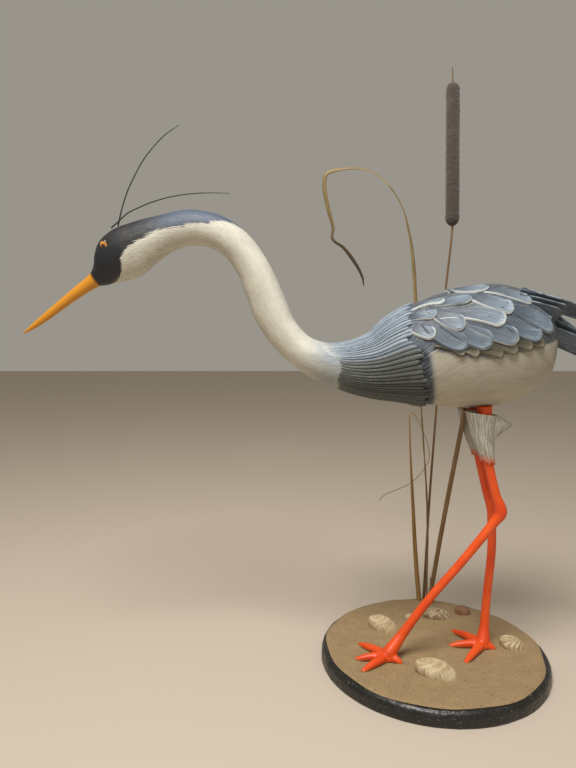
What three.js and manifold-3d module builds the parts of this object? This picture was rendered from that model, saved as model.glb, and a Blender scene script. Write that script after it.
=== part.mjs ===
// A carved and painted wooden heron wading on a round sanded base, with dried reeds and shells.
// Millimetres, +Z up. The origin is the centre of the base's underside and the bill points to -X.
import * as THREE from 'three';
import { mergeVertices } from 'three/addons/utils/BufferGeometryUtils.js';
import Module from 'manifold-3d';

// Driving dimensions
const GAP = 0.3; // clearance between touching pieces
const BASE_RADIUS = 178;
const BASE_HEIGHT = 22.5;
const BASE_BEVEL = 7;
const DISC_SIDES = 40;
const SAND_RADIUS = 170;
const SAND_DEPTH = 2.4;
const GROUND = BASE_HEIGHT + GAP + SAND_DEPTH; // top of the sand
const STANDING = GROUND + GAP; // lowest point of what stands on the sand
const ROOTED = STANDING - 3; // reeds are drawn from here and trimmed at the sand
const ROOT_DEPTH = 30; // depth of the block that trims what stands on the sand
const MID_Y = -17; // the bird's plane of symmetry
const RING_SIDES = 24; // points round one section of the figure
const SMOOTHING = 0.65; // most that a merged facet may depart from the joined carving

// The figure's spine from the bill tip to the rump: place along it, then the section's reach above
// the spine, below it, and to each side.
const SPINE = [
  { x: -632.5, z: 523.0, up: 0.6, down: 0.6, side: 0.6 }, // bill tip
  { x: -620.0, z: 531.5, up: 3.4, down: 3.4, side: 3.2 },
  { x: -598.0, z: 547.5, up: 5.8, down: 5.8, side: 5.2 },
  { x: -556.0, z: 579.5, up: 8.0, down: 8.0, side: 7.0 },
  { x: -522.0, z: 603.5, up: 11.4, down: 11.6, side: 10.0 }, // bill root
  { x: -510.0, z: 612.0, up: 19.0, down: 19.0, side: 15.5 },
  { x: -497.0, z: 623.5, up: 32.0, down: 29.5, side: 23.5 },
  { x: -484.0, z: 634.5, up: 38.8, down: 36.5, side: 26.5 }, // crown
  { x: -468.0, z: 645.5, up: 39.2, down: 39.2, side: 27.5 },
  { x: -442.0, z: 659.7, up: 33.4, down: 33.4, side: 26.0 },
  { x: -411.0, z: 672.7, up: 27.6, down: 27.6, side: 24.0 },
  { x: -375.0, z: 680.2, up: 26.0, down: 26.0, side: 23.0 }, // top of the neck
  { x: -340.0, z: 674.5, up: 24.7, down: 24.7, side: 22.5 },
  { x: -310.0, z: 655.0, up: 24.0, down: 24.0, side: 22.5 },
  { x: -286.3, z: 624.2, up: 24.3, down: 24.3, side: 23.0 },
  { x: -270.2, z: 589.0, up: 26.2, down: 26.2, side: 24.0 },
  { x: -258.2, z: 558.4, up: 27.1, down: 27.1, side: 24.5 },
  { x: -241.6, z: 527.6, up: 25.0, down: 25.0, side: 24.5 },
  { x: -215.5, z: 499.4, up: 25.0, down: 25.0, side: 25.5 }, // foot of the neck
  { x: -179.7, z: 480.8, up: 29.3, down: 29.3, side: 29.5 },
  { x: -139.7, z: 472.8, up: 38.0, down: 38.0, side: 37.5 },
  { x: -100.4, z: 474.4, up: 49.4, down: 49.4, side: 48.0 },
  { x: -59.6, z: 484.4, up: 68.0, down: 68.0, side: 60.0 }, // breast
  { x: -19.2, z: 493.5, up: 80.0, down: 81.0, side: 69.0 },
  { x: 20.3, z: 500.0, up: 87.5, down: 90.0, side: 74.0 },
  { x: 60.0, z: 505.5, up: 91.0, down: 93.5, side: 76.0 },
  { x: 95.0, z: 508.5, up: 89.0, down: 90.0, side: 73.0 },
  { x: 120.0, z: 511.5, up: 81.0, down: 79.0, side: 66.0 },
  { x: 140.0, z: 514.5, up: 68.0, down: 66.0, side: 56.0 },
  { x: 153.0, z: 517.0, up: 54.0, down: 52.0, side: 44.0 },
  { x: 162.0, z: 518.5, up: 38.0, down: 37.5, side: 31.0 },
  { x: 167.0, z: 519.0, up: 22.0, down: 23.0, side: 18.0 },
  { x: 168.5, z: 519.3, up: 9.0, down: 9.5, side: 7.0 }, // rump
];

// The grooved cape of breast plumes, which ends in a raised ragged edge
const CAPE_START_X = -190;
const CAPE_EDGE_X = -39;
const CAPE_LIFT = 3.4;
const CAPE_GROOVE = 1.3;
const CAPE_RAG = 3.5;

// Wing feathers in tiers from the ridge of the back down to the wing's lower edge. A tier gives the
// angle of its tips from the ridge, the tips' places along the body, and the feathers' size.
const WING_SWEEP = 20; // degrees that a feather points down from the line of the body
const FEATHER_LIFT = 4.4;
const FEATHER_ROOT_LIFT = 0.6;
const FEATHER_DEPTH = 2.5;
const WING_TIERS = [
  { angle: 18, tips: [10, 62, 112], length: 66, width: 30, sweep: 8 },
  { angle: 41, tips: [0, 40, 96, 138], length: 60, width: 27, sweep: 12 },
  { angle: 55, tips: [-14, 92], length: 46, width: 24, sweep: 14 },
  { angle: 67, tips: [-20, 20, 74, 143], length: 50, width: 25, sweep: WING_SWEEP },
  { angle: 84, tips: [22, 52, 88, 128], length: 52, width: 25, sweep: WING_SWEEP },
  { angle: 93, tips: [30, 66, 104], length: 40, width: 17, sweep: WING_SWEEP },
];

// Long blades: the wing tips, stepping up to the rear, and the fanned tail
const BLADE_THICKNESS = 3.4;
const WING_TIP_ROLL = 48; // degrees that a wing tip slopes down from the ridge
const WING_TIPS = [
  { root: { x: 92, z: 566, y: 45 }, tip: { x: 162, z: 548, y: 36 }, width: 27 },
  { root: { x: 98, z: 574, y: 38 }, tip: { x: 173, z: 555, y: 30 }, width: 24 },
  { root: { x: 104, z: 582, y: 29 }, tip: { x: 188, z: 559, y: 22 }, width: 22 },
  { root: { x: 110, z: 585, y: 17 }, tip: { x: 216, z: 551, y: 12 }, width: 22 },
];
const TAIL_WIDTH = 26;
const TAIL_FEATHERS = [
  { root: { x: 150, z: 565, y: 0 }, tip: { x: 240, z: 497, y: 0 }, roll: 0 },
  { root: { x: 144, z: 550, y: 9 }, tip: { x: 240, z: 494, y: 7 }, roll: 36 },
  { root: { x: 140, z: 533, y: 16 }, tip: { x: 235, z: 491, y: 13 }, roll: 62 },
];

const EYE_RADIUS = 7.5;
const EYE_FLATNESS = 0.6;
const EYE = { x: -499.5, z: 652.6, side: 19.6 };
const EYE_TILT = 32; // degrees that the eye looks up
const EYE_TURN = 12; // degrees that the eye looks ahead

const PLUME_RADIUS = 0.9;
const UPPER_PLUME = [[-486, 3, 683], [-480, 5, 709], [-472, 7, 734], [-461, 9, 758], [-449, 11, 780],
  [-434, 13, 800], [-416.5, 15, 818.5], [-395, 17, 834]];
const LOWER_PLUME = [[-494.5, -3, 679.5], [-483, -4, 689], [-470, -5, 700], [-453, -7, 708],
  [-430, -9, 716.5], [-404.5, -11, 723], [-375, -13, 727], [-350, -15, 728], [-317.5, -17, 727]];

// Legs: each stop of a leg gives its place, its distance from the bird's plane and its radius.
const LEG_TOP = [
  { x: 61, y: 21.5, z: 416, r: 11.5 }, // thigh, inside the collar
  { x: 63, y: 22, z: 372, r: 9 },
];
const NEAR_LEG = [
  ...LEG_TOP,
  { x: 68.8, y: 22, z: 332, r: 7.4 },
  { x: 82, y: 22, z: 280, r: 7.0 },
  { x: 90.5, y: 21.5, z: 254, r: 9.2 }, // hock
  { x: 81, y: 21, z: 238, r: 7.4 },
  { x: 33, y: 20, z: 175, r: 6.6 },
  { x: -15, y: 18.5, z: 116, r: 6.6 },
  { x: -55, y: 22, z: 63, r: 7.4 },
  { x: -79, y: 31, z: 34, r: 11.5 }, // ankle
];
const FAR_LEG = [
  ...LEG_TOP,
  { x: 68.2, y: 22, z: 334, r: 7.4 },
  { x: 79.5, y: 21, z: 284, r: 7.0 },
  { x: 91.5, y: 20, z: 247, r: 9.2 }, // hock
  { x: 91, y: 19.5, z: 228, r: 7.3 },
  { x: 91.5, y: 19, z: 177, r: 6.8 },
  { x: 85.5, y: 18.5, z: 98, r: 6.8 },
  { x: 82, y: 14, z: 58, r: 7.6 },
  { x: 78, y: 7, z: 34, r: 11.5 }, // ankle
];
const FOOT_STOPS = [{ rise: 4, r: 8 }, { rise: -2, r: 13 }, { rise: -10, r: 14 }];
const TOE_ROOT_RADIUS = 8;
const TOE_MIDDLE_RADIUS = 6.5;
const TOE_TIP_RADIUS = 4.2;
const TOE_BEND = 0.6; // how far along a toe its middle stop stands
const TOE_MIDDLE_HEIGHT = 6;
const TOE_TIP_HEIGHT = 2;
const NEAR_TOES = [[-118, -2], [-129, -49], [-123, -84], [-60, -62]];
const FAR_TOES = [[43, 41], [25, -8], [36, -60], [94, -20]];

// Thigh collars: thin cuffs round the leg tops, open above, with a pointed flap to the rear.
const COLLAR_WALL = 1.6;
const COLLAR_SIDES = 10;
const COLLAR_SMOOTHING = 0.2; // most that a merged facet of a cuff may depart
const COLLAR_TILT = 3; // how far a rim's rear end lies below its middle
const FLAP_HOLLOW = 0.78; // share of the flap that is hollow
const COLLAR_STOPS = [
  { x: 56, z: 405, long: 23.5, wide: 17, flap: 2 },
  { x: 57, z: 391, long: 20.5, wide: 15, flap: 27 },
  { x: 59.5, z: 368, long: 17, wide: 12.5, flap: 0 },
  { x: 63.5, z: 350, long: 13.6, wide: 12.2, flap: 0 },
  { x: 68.2, z: 334, long: 11.2, wide: 11, flap: 0 },
];
const COLLAR_Y = 22;

// Reeds stand in one clump near the far edge of the base.
const CATTAIL_STEM = [[21, 162, ROOTED], [24, 162, 100], [28.5, 162, 218], [38, 162, 392], [50, 162, 600],
  [59.5, 162, 714], [58, 162, 850], [54.5, 162, 957], [53, 162, 983]];
const CATTAIL_STEM_RADIUS = 1.9;
const CATTAIL_HEAD_RADIUS = 12.4;
const CATTAIL_Y = 162;
const CATTAIL_HEAD_X = 59.2;
const CATTAIL_HEAD_LEAN = 1.1; // degrees from upright, towards the bill
const CATTAIL_HEAD_START = 712;
const CATTAIL_HEAD_END = 957;
const LEAF_PATH = [
  { x: 25, y: 154, z: ROOTED, width: 4.5, twist: 20 },
  { x: 23, y: 151, z: 192, width: 4.5, twist: 35 },
  { x: 12.5, y: 150, z: 331, width: 5.5, twist: 60 },
  { x: 7, y: 150, z: 396, width: 6.5, twist: 70 },
  { x: -0.5, y: 150, z: 490, width: 6.5, twist: 35 },
  { x: -6, y: 150, z: 582, width: 6.5, twist: 10 },
  { x: -13.5, y: 150, z: 669, width: 6.5, twist: 25 },
  { x: -27, y: 150, z: 729, width: 6.5, twist: 60 },
  { x: -43.5, y: 150, z: 763, width: 6.5, twist: 80 },
  { x: -63, y: 150, z: 786, width: 6.5, twist: 85 },
  { x: -88, y: 150, z: 803, width: 7, twist: 75 },
  { x: -115, y: 150, z: 809, width: 7.5, twist: 55 },
  { x: -146, y: 150, z: 806.5, width: 8, twist: 30 },
  { x: -165, y: 150, z: 799, width: 7.5, twist: 20 },
  { x: -169, y: 150, z: 783, width: 7.5, twist: 10 },
  { x: -163, y: 150, z: 745, width: 7, twist: 15 },
  { x: -153, y: 150, z: 708, width: 6, twist: 28 },
  { x: -154, y: 150, z: 688, width: 5, twist: 48 },
  { x: -134, y: 150, z: 672, width: 6, twist: 40 },
  { x: -113, y: 150, z: 645, width: 6, twist: 20 },
  { x: -101, y: 150, z: 622, width: 4, twist: 30 },
  { x: -98, y: 150, z: 606, width: 2, twist: 40 },
];
const LEAF_THICKNESS = 2;
const THIN_REED = [
  { x: 12.5, y: 158, z: ROOTED, r: 4.4 },
  { x: 4.5, y: 158, z: 106, r: 4 },
  { x: -3, y: 158, z: 216, r: 2.9 },
  { x: -9, y: 158, z: 310, r: 1.6 },
  { x: -11.4, y: 158, z: 373, r: 1 },
  { x: -10, y: 158.5, z: 379, r: 0.8 },
  { x: -5, y: 160, z: 379, r: 0.7 },
  { x: 9, y: 165, z: 357, r: 0.6 },
  { x: 25, y: 171, z: 320, r: 0.6 },
  { x: 28.5, y: 172, z: 291, r: 0.6 },
  { x: 14, y: 164, z: 269, r: 0.6 },
  { x: -8, y: 148, z: 253, r: 0.6 },
  { x: -31, y: 142, z: 243, r: 0.6 },
  { x: -58, y: 140, z: 232, r: 0.6 },
  { x: -68, y: 140, z: 221, r: 0.6 },
];
const THICK_REED = [[27.5, 148, ROOTED], [32.6, 74, 205], [38.4, -17, 407]];
const THICK_REED_RADIUS = 3.9;
const STUBS = [
  { x: 31.5, y: 158, lean: 1.5, height: 46, r: 1.5 },
  { x: 37, y: 153, lean: -2.5, height: 27, r: 1.3 },
];

// Shells and a pebble on the sand: the middle, the outline's two radii, the height and the turn.
const SHELLS = [
  { name: 'clam_shell_left', x: -70, y: 54, long: 23, wide: 18, height: 19, turn: -20, colour: 0xd9cfb4 },
  { name: 'clam_shell_front', x: -12, y: -86, long: 29, wide: 20, height: 19, turn: -12, colour: 0xd2c4a4 },
  { name: 'ringed_shell_right', x: 126, y: -7, long: 19, wide: 16, height: 16, turn: 10, colour: 0xcfc3a2 },
  { name: 'fan_shell_back', x: 33, y: 97, long: 25, wide: 17, height: 13, turn: 4, colour: 0xa8875a },
  { name: 'small_shell_back', x: -15, y: 86, long: 14, wide: 10, height: 8, turn: 25, colour: 0xc8b48c },
  { name: 'brown_pebble_back', x: 78, y: 108, long: 14, wide: 11, height: 14, turn: 0, colour: 0x7a5030 },
];

const DEGREE = Math.PI / 180;
const wasm = await Module();
wasm.setup();

function point(x, y, z) {
  return new THREE.Vector3(x, y, z);
}

// A closed solid through rings of points, with each end drawn to its middle
function ringSolid(rings) {
  const sides = rings[0].length;
  const last = rings.length - 1;
  const positions = rings.flat().flatMap((p) => [p.x, p.y, p.z]);
  const triangles = [];
  for (let i = 0; i < last; i++) {
    const here = i * sides;
    const next = here + sides;
    for (let j = 0; j < sides; j++) {
      const k = (j + 1) % sides;
      triangles.push(here + j, here + k, next + k, here + j, next + k, next + j);
    }
  }
  [[0, 1], [last, -1]].forEach(([end, way]) => {
    const middle = rings[end].reduce((sum, p) => sum.add(p), point(0, 0, 0)).divideScalar(sides);
    const centre = positions.length / 3;
    positions.push(middle.x, middle.y, middle.z);
    for (let j = 0; j < sides; j++) {
      const a = end * sides + j;
      const b = end * sides + (j + 1) % sides;
      triangles.push(...(way > 0 ? [centre, b, a] : [centre, a, b]));
    }
  });
  const geometry = new THREE.BufferGeometry();
  geometry.setAttribute('position', new THREE.Float32BufferAttribute(positions, 3));
  geometry.setIndex(triangles);
  return facingOut(geometry);
}

function signedVolume(geometry) {
  const position = geometry.getAttribute('position');
  const index = geometry.getIndex();
  const corners = [point(0, 0, 0), point(0, 0, 0), point(0, 0, 0)];
  let volume = 0;
  for (let i = 0; i < index.count; i += 3) {
    corners.forEach((corner, k) => corner.fromBufferAttribute(position, index.getX(i + k)));
    volume += corners[0].dot(corners[1].clone().cross(corners[2])) / 6;
  }
  return volume;
}

function facingOut(geometry) {
  if (signedVolume(geometry) < 0) {
    const index = Array.from(geometry.getIndex().array);
    for (let i = 0; i < index.length; i += 3) {
      [index[i + 1], index[i + 2]] = [index[i + 2], index[i + 1]];
    }
    geometry.setIndex(index);
  }
  return geometry;
}

function toManifold(geometry) {
  const bare = geometry.clone();
  bare.deleteAttribute('normal');
  bare.deleteAttribute('uv');
  const merged = facingOut(mergeVertices(bare, 1e-4));
  return new wasm.Manifold(new wasm.Mesh({
    numProp: 3,
    vertProperties: new Float32Array(merged.getAttribute('position').array),
    triVerts: new Uint32Array(merged.getIndex().array),
  }));
}

function fromManifold(manifold) {
  const mesh = manifold.getMesh();
  const geometry = new THREE.BufferGeometry();
  geometry.setAttribute('position', new THREE.Float32BufferAttribute(mesh.vertProperties, 3));
  geometry.setIndex(Array.from(mesh.triVerts));
  return geometry;
}

function joinAll(geometries) {
  return geometries.map(toManifold).reduce((sum, next) => sum.add(next));
}

// What stands on the sand is cut off flat just above it.
function cutAtSand(manifold) {
  const under = new THREE.BoxGeometry(2 * BASE_RADIUS, 2 * BASE_RADIUS, 2 * ROOT_DEPTH);
  under.translate(0, 0, STANDING - ROOT_DEPTH);
  return manifold.subtract(toManifold(under));
}

function paint(colour, roughness = 0.6) {
  return new THREE.MeshStandardMaterial({ color: colour, roughness, metalness: 0 });
}

function node(name, geometry, material) {
  geometry.computeVertexNormals();
  const mesh = new THREE.Mesh(geometry, material);
  mesh.name = name;
  return mesh;
}

// Smooth interpolation of numbers given at uneven stops
function smoothAt(stops, values, s) {
  const last = stops.length - 1;
  let i = 0;
  while (i < last - 1 && s > stops[i + 1]) {
    i += 1;
  }
  const slope = (k) => {
    const a = Math.max(k - 1, 0);
    const b = Math.min(k + 1, last);
    return (values[b] - values[a]) / (stops[b] - stops[a]);
  };
  const step = stops[i + 1] - stops[i];
  const t = (s - stops[i]) / step;
  const rise = values[i + 1] - values[i];
  const m0 = slope(i) * step;
  const m1 = slope(i + 1) * step;
  return values[i] + t * (m0 + t * (3 * rise - 2 * m0 - m1 + t * (m0 + m1 - 2 * rise)));
}

function stopsAlong(rows) {
  const stops = [0];
  for (let i = 1; i < rows.length; i++) {
    const step = ['x', 'y', 'z'].map((key) => (rows[i][key] ?? 0) - (rows[i - 1][key] ?? 0));
    stops.push(stops[i - 1] + Math.hypot(...step));
  }
  return stops;
}

// The stops again, with a middle one added in each step that is longer than `longest`
function withMiddles(stops, longest) {
  return stops.flatMap((stop, i) => {
    const next = stops[i + 1];
    return next - stop > longest ? [stop, (stop + next) / 2] : [stop];
  });
}

const SPINE_STOPS = stopsAlong(SPINE);
const SPINE_LENGTH = SPINE_STOPS[SPINE_STOPS.length - 1];

function spineValue(key, s) {
  return smoothAt(SPINE_STOPS, SPINE.map((row) => row[key]), s);
}

// Distance along the spine at which it reaches a place x
function spineAt(x) {
  const i = SPINE.findIndex((row) => row.x > x);
  const share = (x - SPINE[i - 1].x) / (SPINE[i].x - SPINE[i - 1].x);
  return SPINE_STOPS[i - 1] + share * (SPINE_STOPS[i] - SPINE_STOPS[i - 1]);
}

// A point on the figure's skin: s along the spine, angle round it from the ridge towards `side`
function skinPoint(s, angle, side, lift = 0) {
  const reach = 1.5;
  const spinePoint = (place) => point(spineValue('x', place), MID_Y, spineValue('z', place));
  const ahead = spinePoint(Math.min(s + reach, SPINE_LENGTH));
  const along = ahead.sub(spinePoint(Math.max(s - reach, 0))).normalize();
  const upward = point(-along.z, 0, along.x);
  const rise = Math.cos(angle);
  const depth = (rise > 0 ? spineValue('up', s) : spineValue('down', s)) + lift;
  const sideways = (spineValue('side', s) + lift) * Math.sin(angle);
  return spinePoint(s).add(point(0, side * sideways, 0)).addScaledVector(upward, depth * rise);
}

function capeLift(s, turn) {
  const start = spineAt(CAPE_START_X);
  const end = spineAt(CAPE_EDGE_X);
  if (s < start || s > end) {
    return 0;
  }
  const share = (s - start) / (end - start);
  const groove = turn % 2 ? -CAPE_GROOVE : CAPE_GROOVE;
  return share * (CAPE_LIFT + groove);
}

function bodyRings() {
  const edge = spineAt(CAPE_EDGE_X);
  const places = [...withMiddles(SPINE_STOPS, 40), edge, edge + CAPE_RAG].sort((a, b) => a - b);
  return places.map((s) => {
    const ring = [];
    for (let j = 0; j < RING_SIDES; j++) {
      const rag = Math.abs(s - edge) <= CAPE_RAG ? (j % 3 - 1) * CAPE_RAG : 0;
      ring.push(skinPoint(s + rag, (2 * Math.PI * j) / RING_SIDES, -1, capeLift(s, j)));
    }
    return ring;
  });
}

// One feather that lies on the skin: a plate with a rounded tip whose top rises to the rear
function feather(tipS, tipAngle, side, { length, width, sweep }) {
  const rows = [[0, 0.8], [0.7, 1], [1, 0.45]];
  const edges = [-1, 0, 1];
  const down = sweep * DEGREE;
  const girth = (spineValue('up', tipS) + spineValue('side', tipS)) / 2;
  const faces = [1, -1].map((face) => rows.map(([share, spread]) => edges.map((edge) => {
    const back = (share - 1) * length;
    const across = (edge * spread * width) / 2;
    const bow = edge === 0 ? 0 : share * share * width * 0.12;
    const s = tipS + back * Math.cos(down) - across * Math.sin(down) - bow;
    const angle = tipAngle * DEGREE + (back * Math.sin(down) + across * Math.cos(down)) / girth;
    const crown = edge === 0 ? 0.8 : 0;
    const top = FEATHER_ROOT_LIFT + (FEATHER_LIFT - FEATHER_ROOT_LIFT) * share + crown;
    return skinPoint(s, angle, side, face > 0 ? top : -FEATHER_DEPTH);
  })));
  return plateSolid(faces);
}

// A closed plate from two grids of points, the upper face and the lower face
function plateSolid([upper, lower]) {
  const rings = upper.map((row, i) => [...row, ...lower[i].slice().reverse()]);
  return ringSolid(rings);
}

// A long blade from root to tip with a rounded end, turned about its length by `roll` degrees
function blade(root, tip, width, roll) {
  const rows = [[0, 0.8], [0.5, 1], [0.85, 0.85], [1, 0.3]];
  const along = tip.clone().sub(root);
  const level = point(0, 0, 1).cross(along).normalize();
  const across = level.applyAxisAngle(along.clone().normalize(), roll * DEGREE);
  const normal = along.clone().cross(across).normalize();
  const faces = [1, -1].map((face) => rows.map(([share, spread]) => [-1, 0, 1].map((edge) => {
    const crown = edge === 0 ? 1.4 : 0;
    const height = face > 0 ? BLADE_THICKNESS / 2 + crown : -BLADE_THICKNESS / 2;
    const bow = edge === 0 ? 0 : share * share * width * 0.12;
    return root.clone().addScaledVector(along, share - bow / along.length())
      .addScaledVector(across, (edge * spread * width) / 2)
      .addScaledVector(normal, height);
  })));
  return plateSolid(faces);
}

function wingFeathers(side) {
  return WING_TIERS.flatMap((tier) => tier.tips.map((x) => feather(spineAt(x), tier.angle, side, tier)));
}

// The wing tips and tail feathers of one side
function longBlades(side) {
  const place = ({ x, y, z }) => point(x, MID_Y + side * y, z);
  return [
    ...WING_TIPS.map(({ root, tip, width }) => blade(place(root), place(tip), width, -side * WING_TIP_ROLL)),
    ...TAIL_FEATHERS.map(({ root, tip, roll }) => blade(place(root), place(tip), TAIL_WIDTH, -side * roll)),
  ];
}

function eyeBall(side, grow = 0) {
  const ball = new THREE.SphereGeometry(EYE_RADIUS + grow, 10, 6);
  ball.rotateX(Math.PI / 2);
  ball.scale(1, EYE_FLATNESS, 1);
  ball.rotateX(side * -EYE_TILT * DEGREE);
  ball.rotateZ(side * EYE_TURN * DEGREE);
  ball.translate(EYE.x, MID_Y + side * EYE.side, EYE.z);
  return ball;
}

function heronSolid() {
  const body = toManifold(ringSolid(bodyRings()));
  const carving = joinAll([
    ...wingFeathers(-1), ...wingFeathers(1), ...longBlades(-1), ...longBlades(1),
  ]);
  const sockets = joinAll([eyeBall(-1, GAP), eyeBall(1, GAP)]);
  return body.add(carving).simplify(SMOOTHING).subtract(sockets);
}

// A round limb through stops that each give a place and a radius
function limb(rows, sides, longest) {
  const stops = stopsAlong(rows);
  const total = stops[stops.length - 1];
  const at = (key, s) => smoothAt(stops, rows.map((row) => row[key]), Math.min(Math.max(s, 0), total));
  const place = (s) => point(at('x', s), at('y', s), at('z', s));
  const rings = [];
  let across = point(0, 1, 0);
  withMiddles(stops, longest).forEach((s) => {
    const along = place(s + 0.5).sub(place(s - 0.5)).normalize();
    across = across.addScaledVector(along, -across.dot(along)).normalize();
    const other = along.clone().cross(across);
    rings.push(Array.from({ length: sides }, (_, j) => {
      const turn = (2 * Math.PI * j) / sides;
      const outward = across.clone().multiplyScalar(Math.cos(turn)).addScaledVector(other, Math.sin(turn));
      return place(s).addScaledVector(outward, at('r', s));
    }));
  });
  return ringSolid(rings);
}

function legSolid(rows, toes, side, heron) {
  const placed = rows.map((row) => ({ ...row, y: MID_Y + side * row.y }));
  const ankle = placed[placed.length - 1];
  const shank = limb(placed, 7, 70);
  const foot = limb(FOOT_STOPS.map(({ rise, r }) => ({ ...ankle, z: ankle.z + rise, r })), 7, 20);
  const spread = toes.map(([x, y]) => {
    const root = { ...ankle, z: ankle.z - 2, r: TOE_ROOT_RADIUS };
    const middle = {
      x: ankle.x + TOE_BEND * (x - ankle.x),
      y: ankle.y + TOE_BEND * (y - ankle.y),
      z: GROUND + TOE_MIDDLE_HEIGHT,
      r: TOE_MIDDLE_RADIUS,
    };
    return limb([root, middle, { x, y, z: GROUND + TOE_TIP_HEIGHT, r: TOE_TIP_RADIUS }], 5, 60);
  });
  const pieces = [shank, foot, ...spread];
  return cutAtSand(joinAll(pieces)).subtract(heron.translate([0, 0, -GAP]));
}

function collarSolid(side) {
  const ring = (stop, inset) => Array.from({ length: COLLAR_SIDES }, (_, j) => {
    const turn = (2 * Math.PI * j) / COLLAR_SIDES;
    const hollow = inset > 0 ? FLAP_HOLLOW : 1;
    const flap = j === 0 ? stop.flap * hollow : 0;
    return point(
      stop.x + Math.cos(turn) * (stop.long - inset) + flap,
      MID_Y + side * COLLAR_Y + Math.sin(turn) * (stop.wide - inset),
      stop.z - Math.cos(turn) * COLLAR_TILT,
    );
  });
  const longer = COLLAR_STOPS.map((stop) => ({ ...stop }));
  longer[0].z += COLLAR_WALL;
  longer[longer.length - 1].z -= COLLAR_WALL;
  const cuff = toManifold(ringSolid(COLLAR_STOPS.map((stop) => ring(stop, 0))));
  const opening = toManifold(ringSolid(longer.map((stop) => ring(stop, COLLAR_WALL))));
  return fromManifold(cuff.subtract(opening).simplify(COLLAR_SMOOTHING));
}

function tube(points, radius, sides, steps) {
  const path = new THREE.CatmullRomCurve3(points.map(([x, y, z]) => point(x, y, z)), false, 'centripetal');
  const outline = Array.from({ length: sides }, (_, i) => {
    const turn = (2 * Math.PI * i) / sides;
    return new THREE.Vector2(Math.cos(turn) * radius, Math.sin(turn) * radius);
  });
  const settings = { steps, bevelEnabled: false, extrudePath: path };
  return new THREE.ExtrudeGeometry(new THREE.Shape(outline), settings);
}

// A flat leaf along its path, turned about its length by each stop's twist
function leafSolid() {
  const stops = stopsAlong(LEAF_PATH);
  const total = stops[stops.length - 1];
  const at = (key, s) => smoothAt(stops, LEAF_PATH.map((row) => row[key]), Math.min(Math.max(s, 0), total));
  const place = (s) => point(at('x', s), at('y', s), at('z', s));
  const places = withMiddles(stops, 40);
  const rings = places.map((s) => {
    const along = place(s + 0.5).sub(place(s - 0.5)).normalize();
    const flat = point(0, 1, 0).cross(along).normalize();
    const across = flat.applyAxisAngle(along, at('twist', s) * DEGREE);
    const normal = along.clone().cross(across);
    const half = at('width', s) / 2;
    const thin = LEAF_THICKNESS / 2;
    return [[-half, -thin], [half, -thin], [half, thin], [-half, thin]]
      .map(([a, b]) => place(s).addScaledVector(across, a).addScaledVector(normal, b));
  });
  return ringSolid(rings);
}

function cattailHead(stem) {
  const length = CATTAIL_HEAD_END - CATTAIL_HEAD_START;
  const profile = [[0, 0], [0.5, 0], [0.85, 0.025], [1, 0.07], [1, 0.93], [0.85, 0.975], [0.45, 1], [0, 1]];
  const outline = profile.map(([r, z]) => new THREE.Vector2(r * CATTAIL_HEAD_RADIUS, z * length));
  const head = new THREE.LatheGeometry(outline, 10);
  head.rotateX(Math.PI / 2);
  head.rotateY(-CATTAIL_HEAD_LEAN * DEGREE);
  head.translate(CATTAIL_HEAD_X, CATTAIL_Y, CATTAIL_HEAD_START);
  return toManifold(head).subtract(stem);
}

function shellSolid({ x, y, long, wide, height, turn }) {
  const sides = 10;
  const dome = [[0.97, 0], [1, 0.2], [0.8, 0.7], [0.36, 1]];
  const rings = dome.map(([spread, rise]) => Array.from({ length: sides }, (_, j) => {
    const angle = (2 * Math.PI * j) / sides;
    const egg = 1 + 0.12 * Math.cos(angle);
    return point(Math.cos(angle) * long * spread, Math.sin(angle) * wide * spread * egg, rise * height);
  }));
  const geometry = ringSolid(rings);
  geometry.rotateZ(turn * DEGREE);
  geometry.translate(x, y, STANDING);
  return geometry;
}

// A disc turned from a profile of radius and height
function turned(profile) {
  const outline = profile.map(([radius, z]) => new THREE.Vector2(radius, z));
  return new THREE.LatheGeometry(outline, DISC_SIDES).rotateX(Math.PI / 2);
}

function baseDisc() {
  const r = BASE_RADIUS;
  return turned([[0, 0], [r - 1.5, 0], [r, 3], [r - 0.5, 15], [r - BASE_BEVEL, BASE_HEIGHT], [0, BASE_HEIGHT]]);
}

function sandBed() {
  const low = BASE_HEIGHT + GAP;
  return turned([[0, low], [SAND_RADIUS, low], [SAND_RADIUS - 1.5, GROUND], [0, GROUND]]);
}

function closed(geometry) {
  return fromManifold(toManifold(geometry));
}

function planted(geometry) {
  return fromManifold(cutAtSand(toManifold(geometry)));
}

function buildHeron(group) {
  const heron = heronSolid();
  const orange = paint(0xc8401c, 0.5);
  group.add(node('heron_figure', fromManifold(heron), paint(0x8f9fb0, 0.55)));
  group.add(node('leg_left', fromManifold(legSolid(NEAR_LEG, NEAR_TOES, -1, heron)), orange));
  group.add(node('leg_right', fromManifold(legSolid(FAR_LEG, FAR_TOES, 1, heron)), orange.clone()));
  [['left', -1], ['right', 1]].forEach(([word, side]) => {
    group.add(node(`eye_${word}`, closed(eyeBall(side)), paint(0xc98a2e, 0.15)));
    group.add(node(`thigh_collar_${word}`, collarSolid(side), paint(0xa9a596, 0.7)));
  });
  const plume = (points) => closed(tube(points.map(([x, y, z]) => [x, MID_Y + y, z]), PLUME_RADIUS, 5, 10));
  group.add(node('plume_upper', plume(UPPER_PLUME), paint(0x1a1a1a, 0.5)));
  group.add(node('plume_lower', plume(LOWER_PLUME), paint(0x1a1a1a, 0.5)));
}

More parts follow.
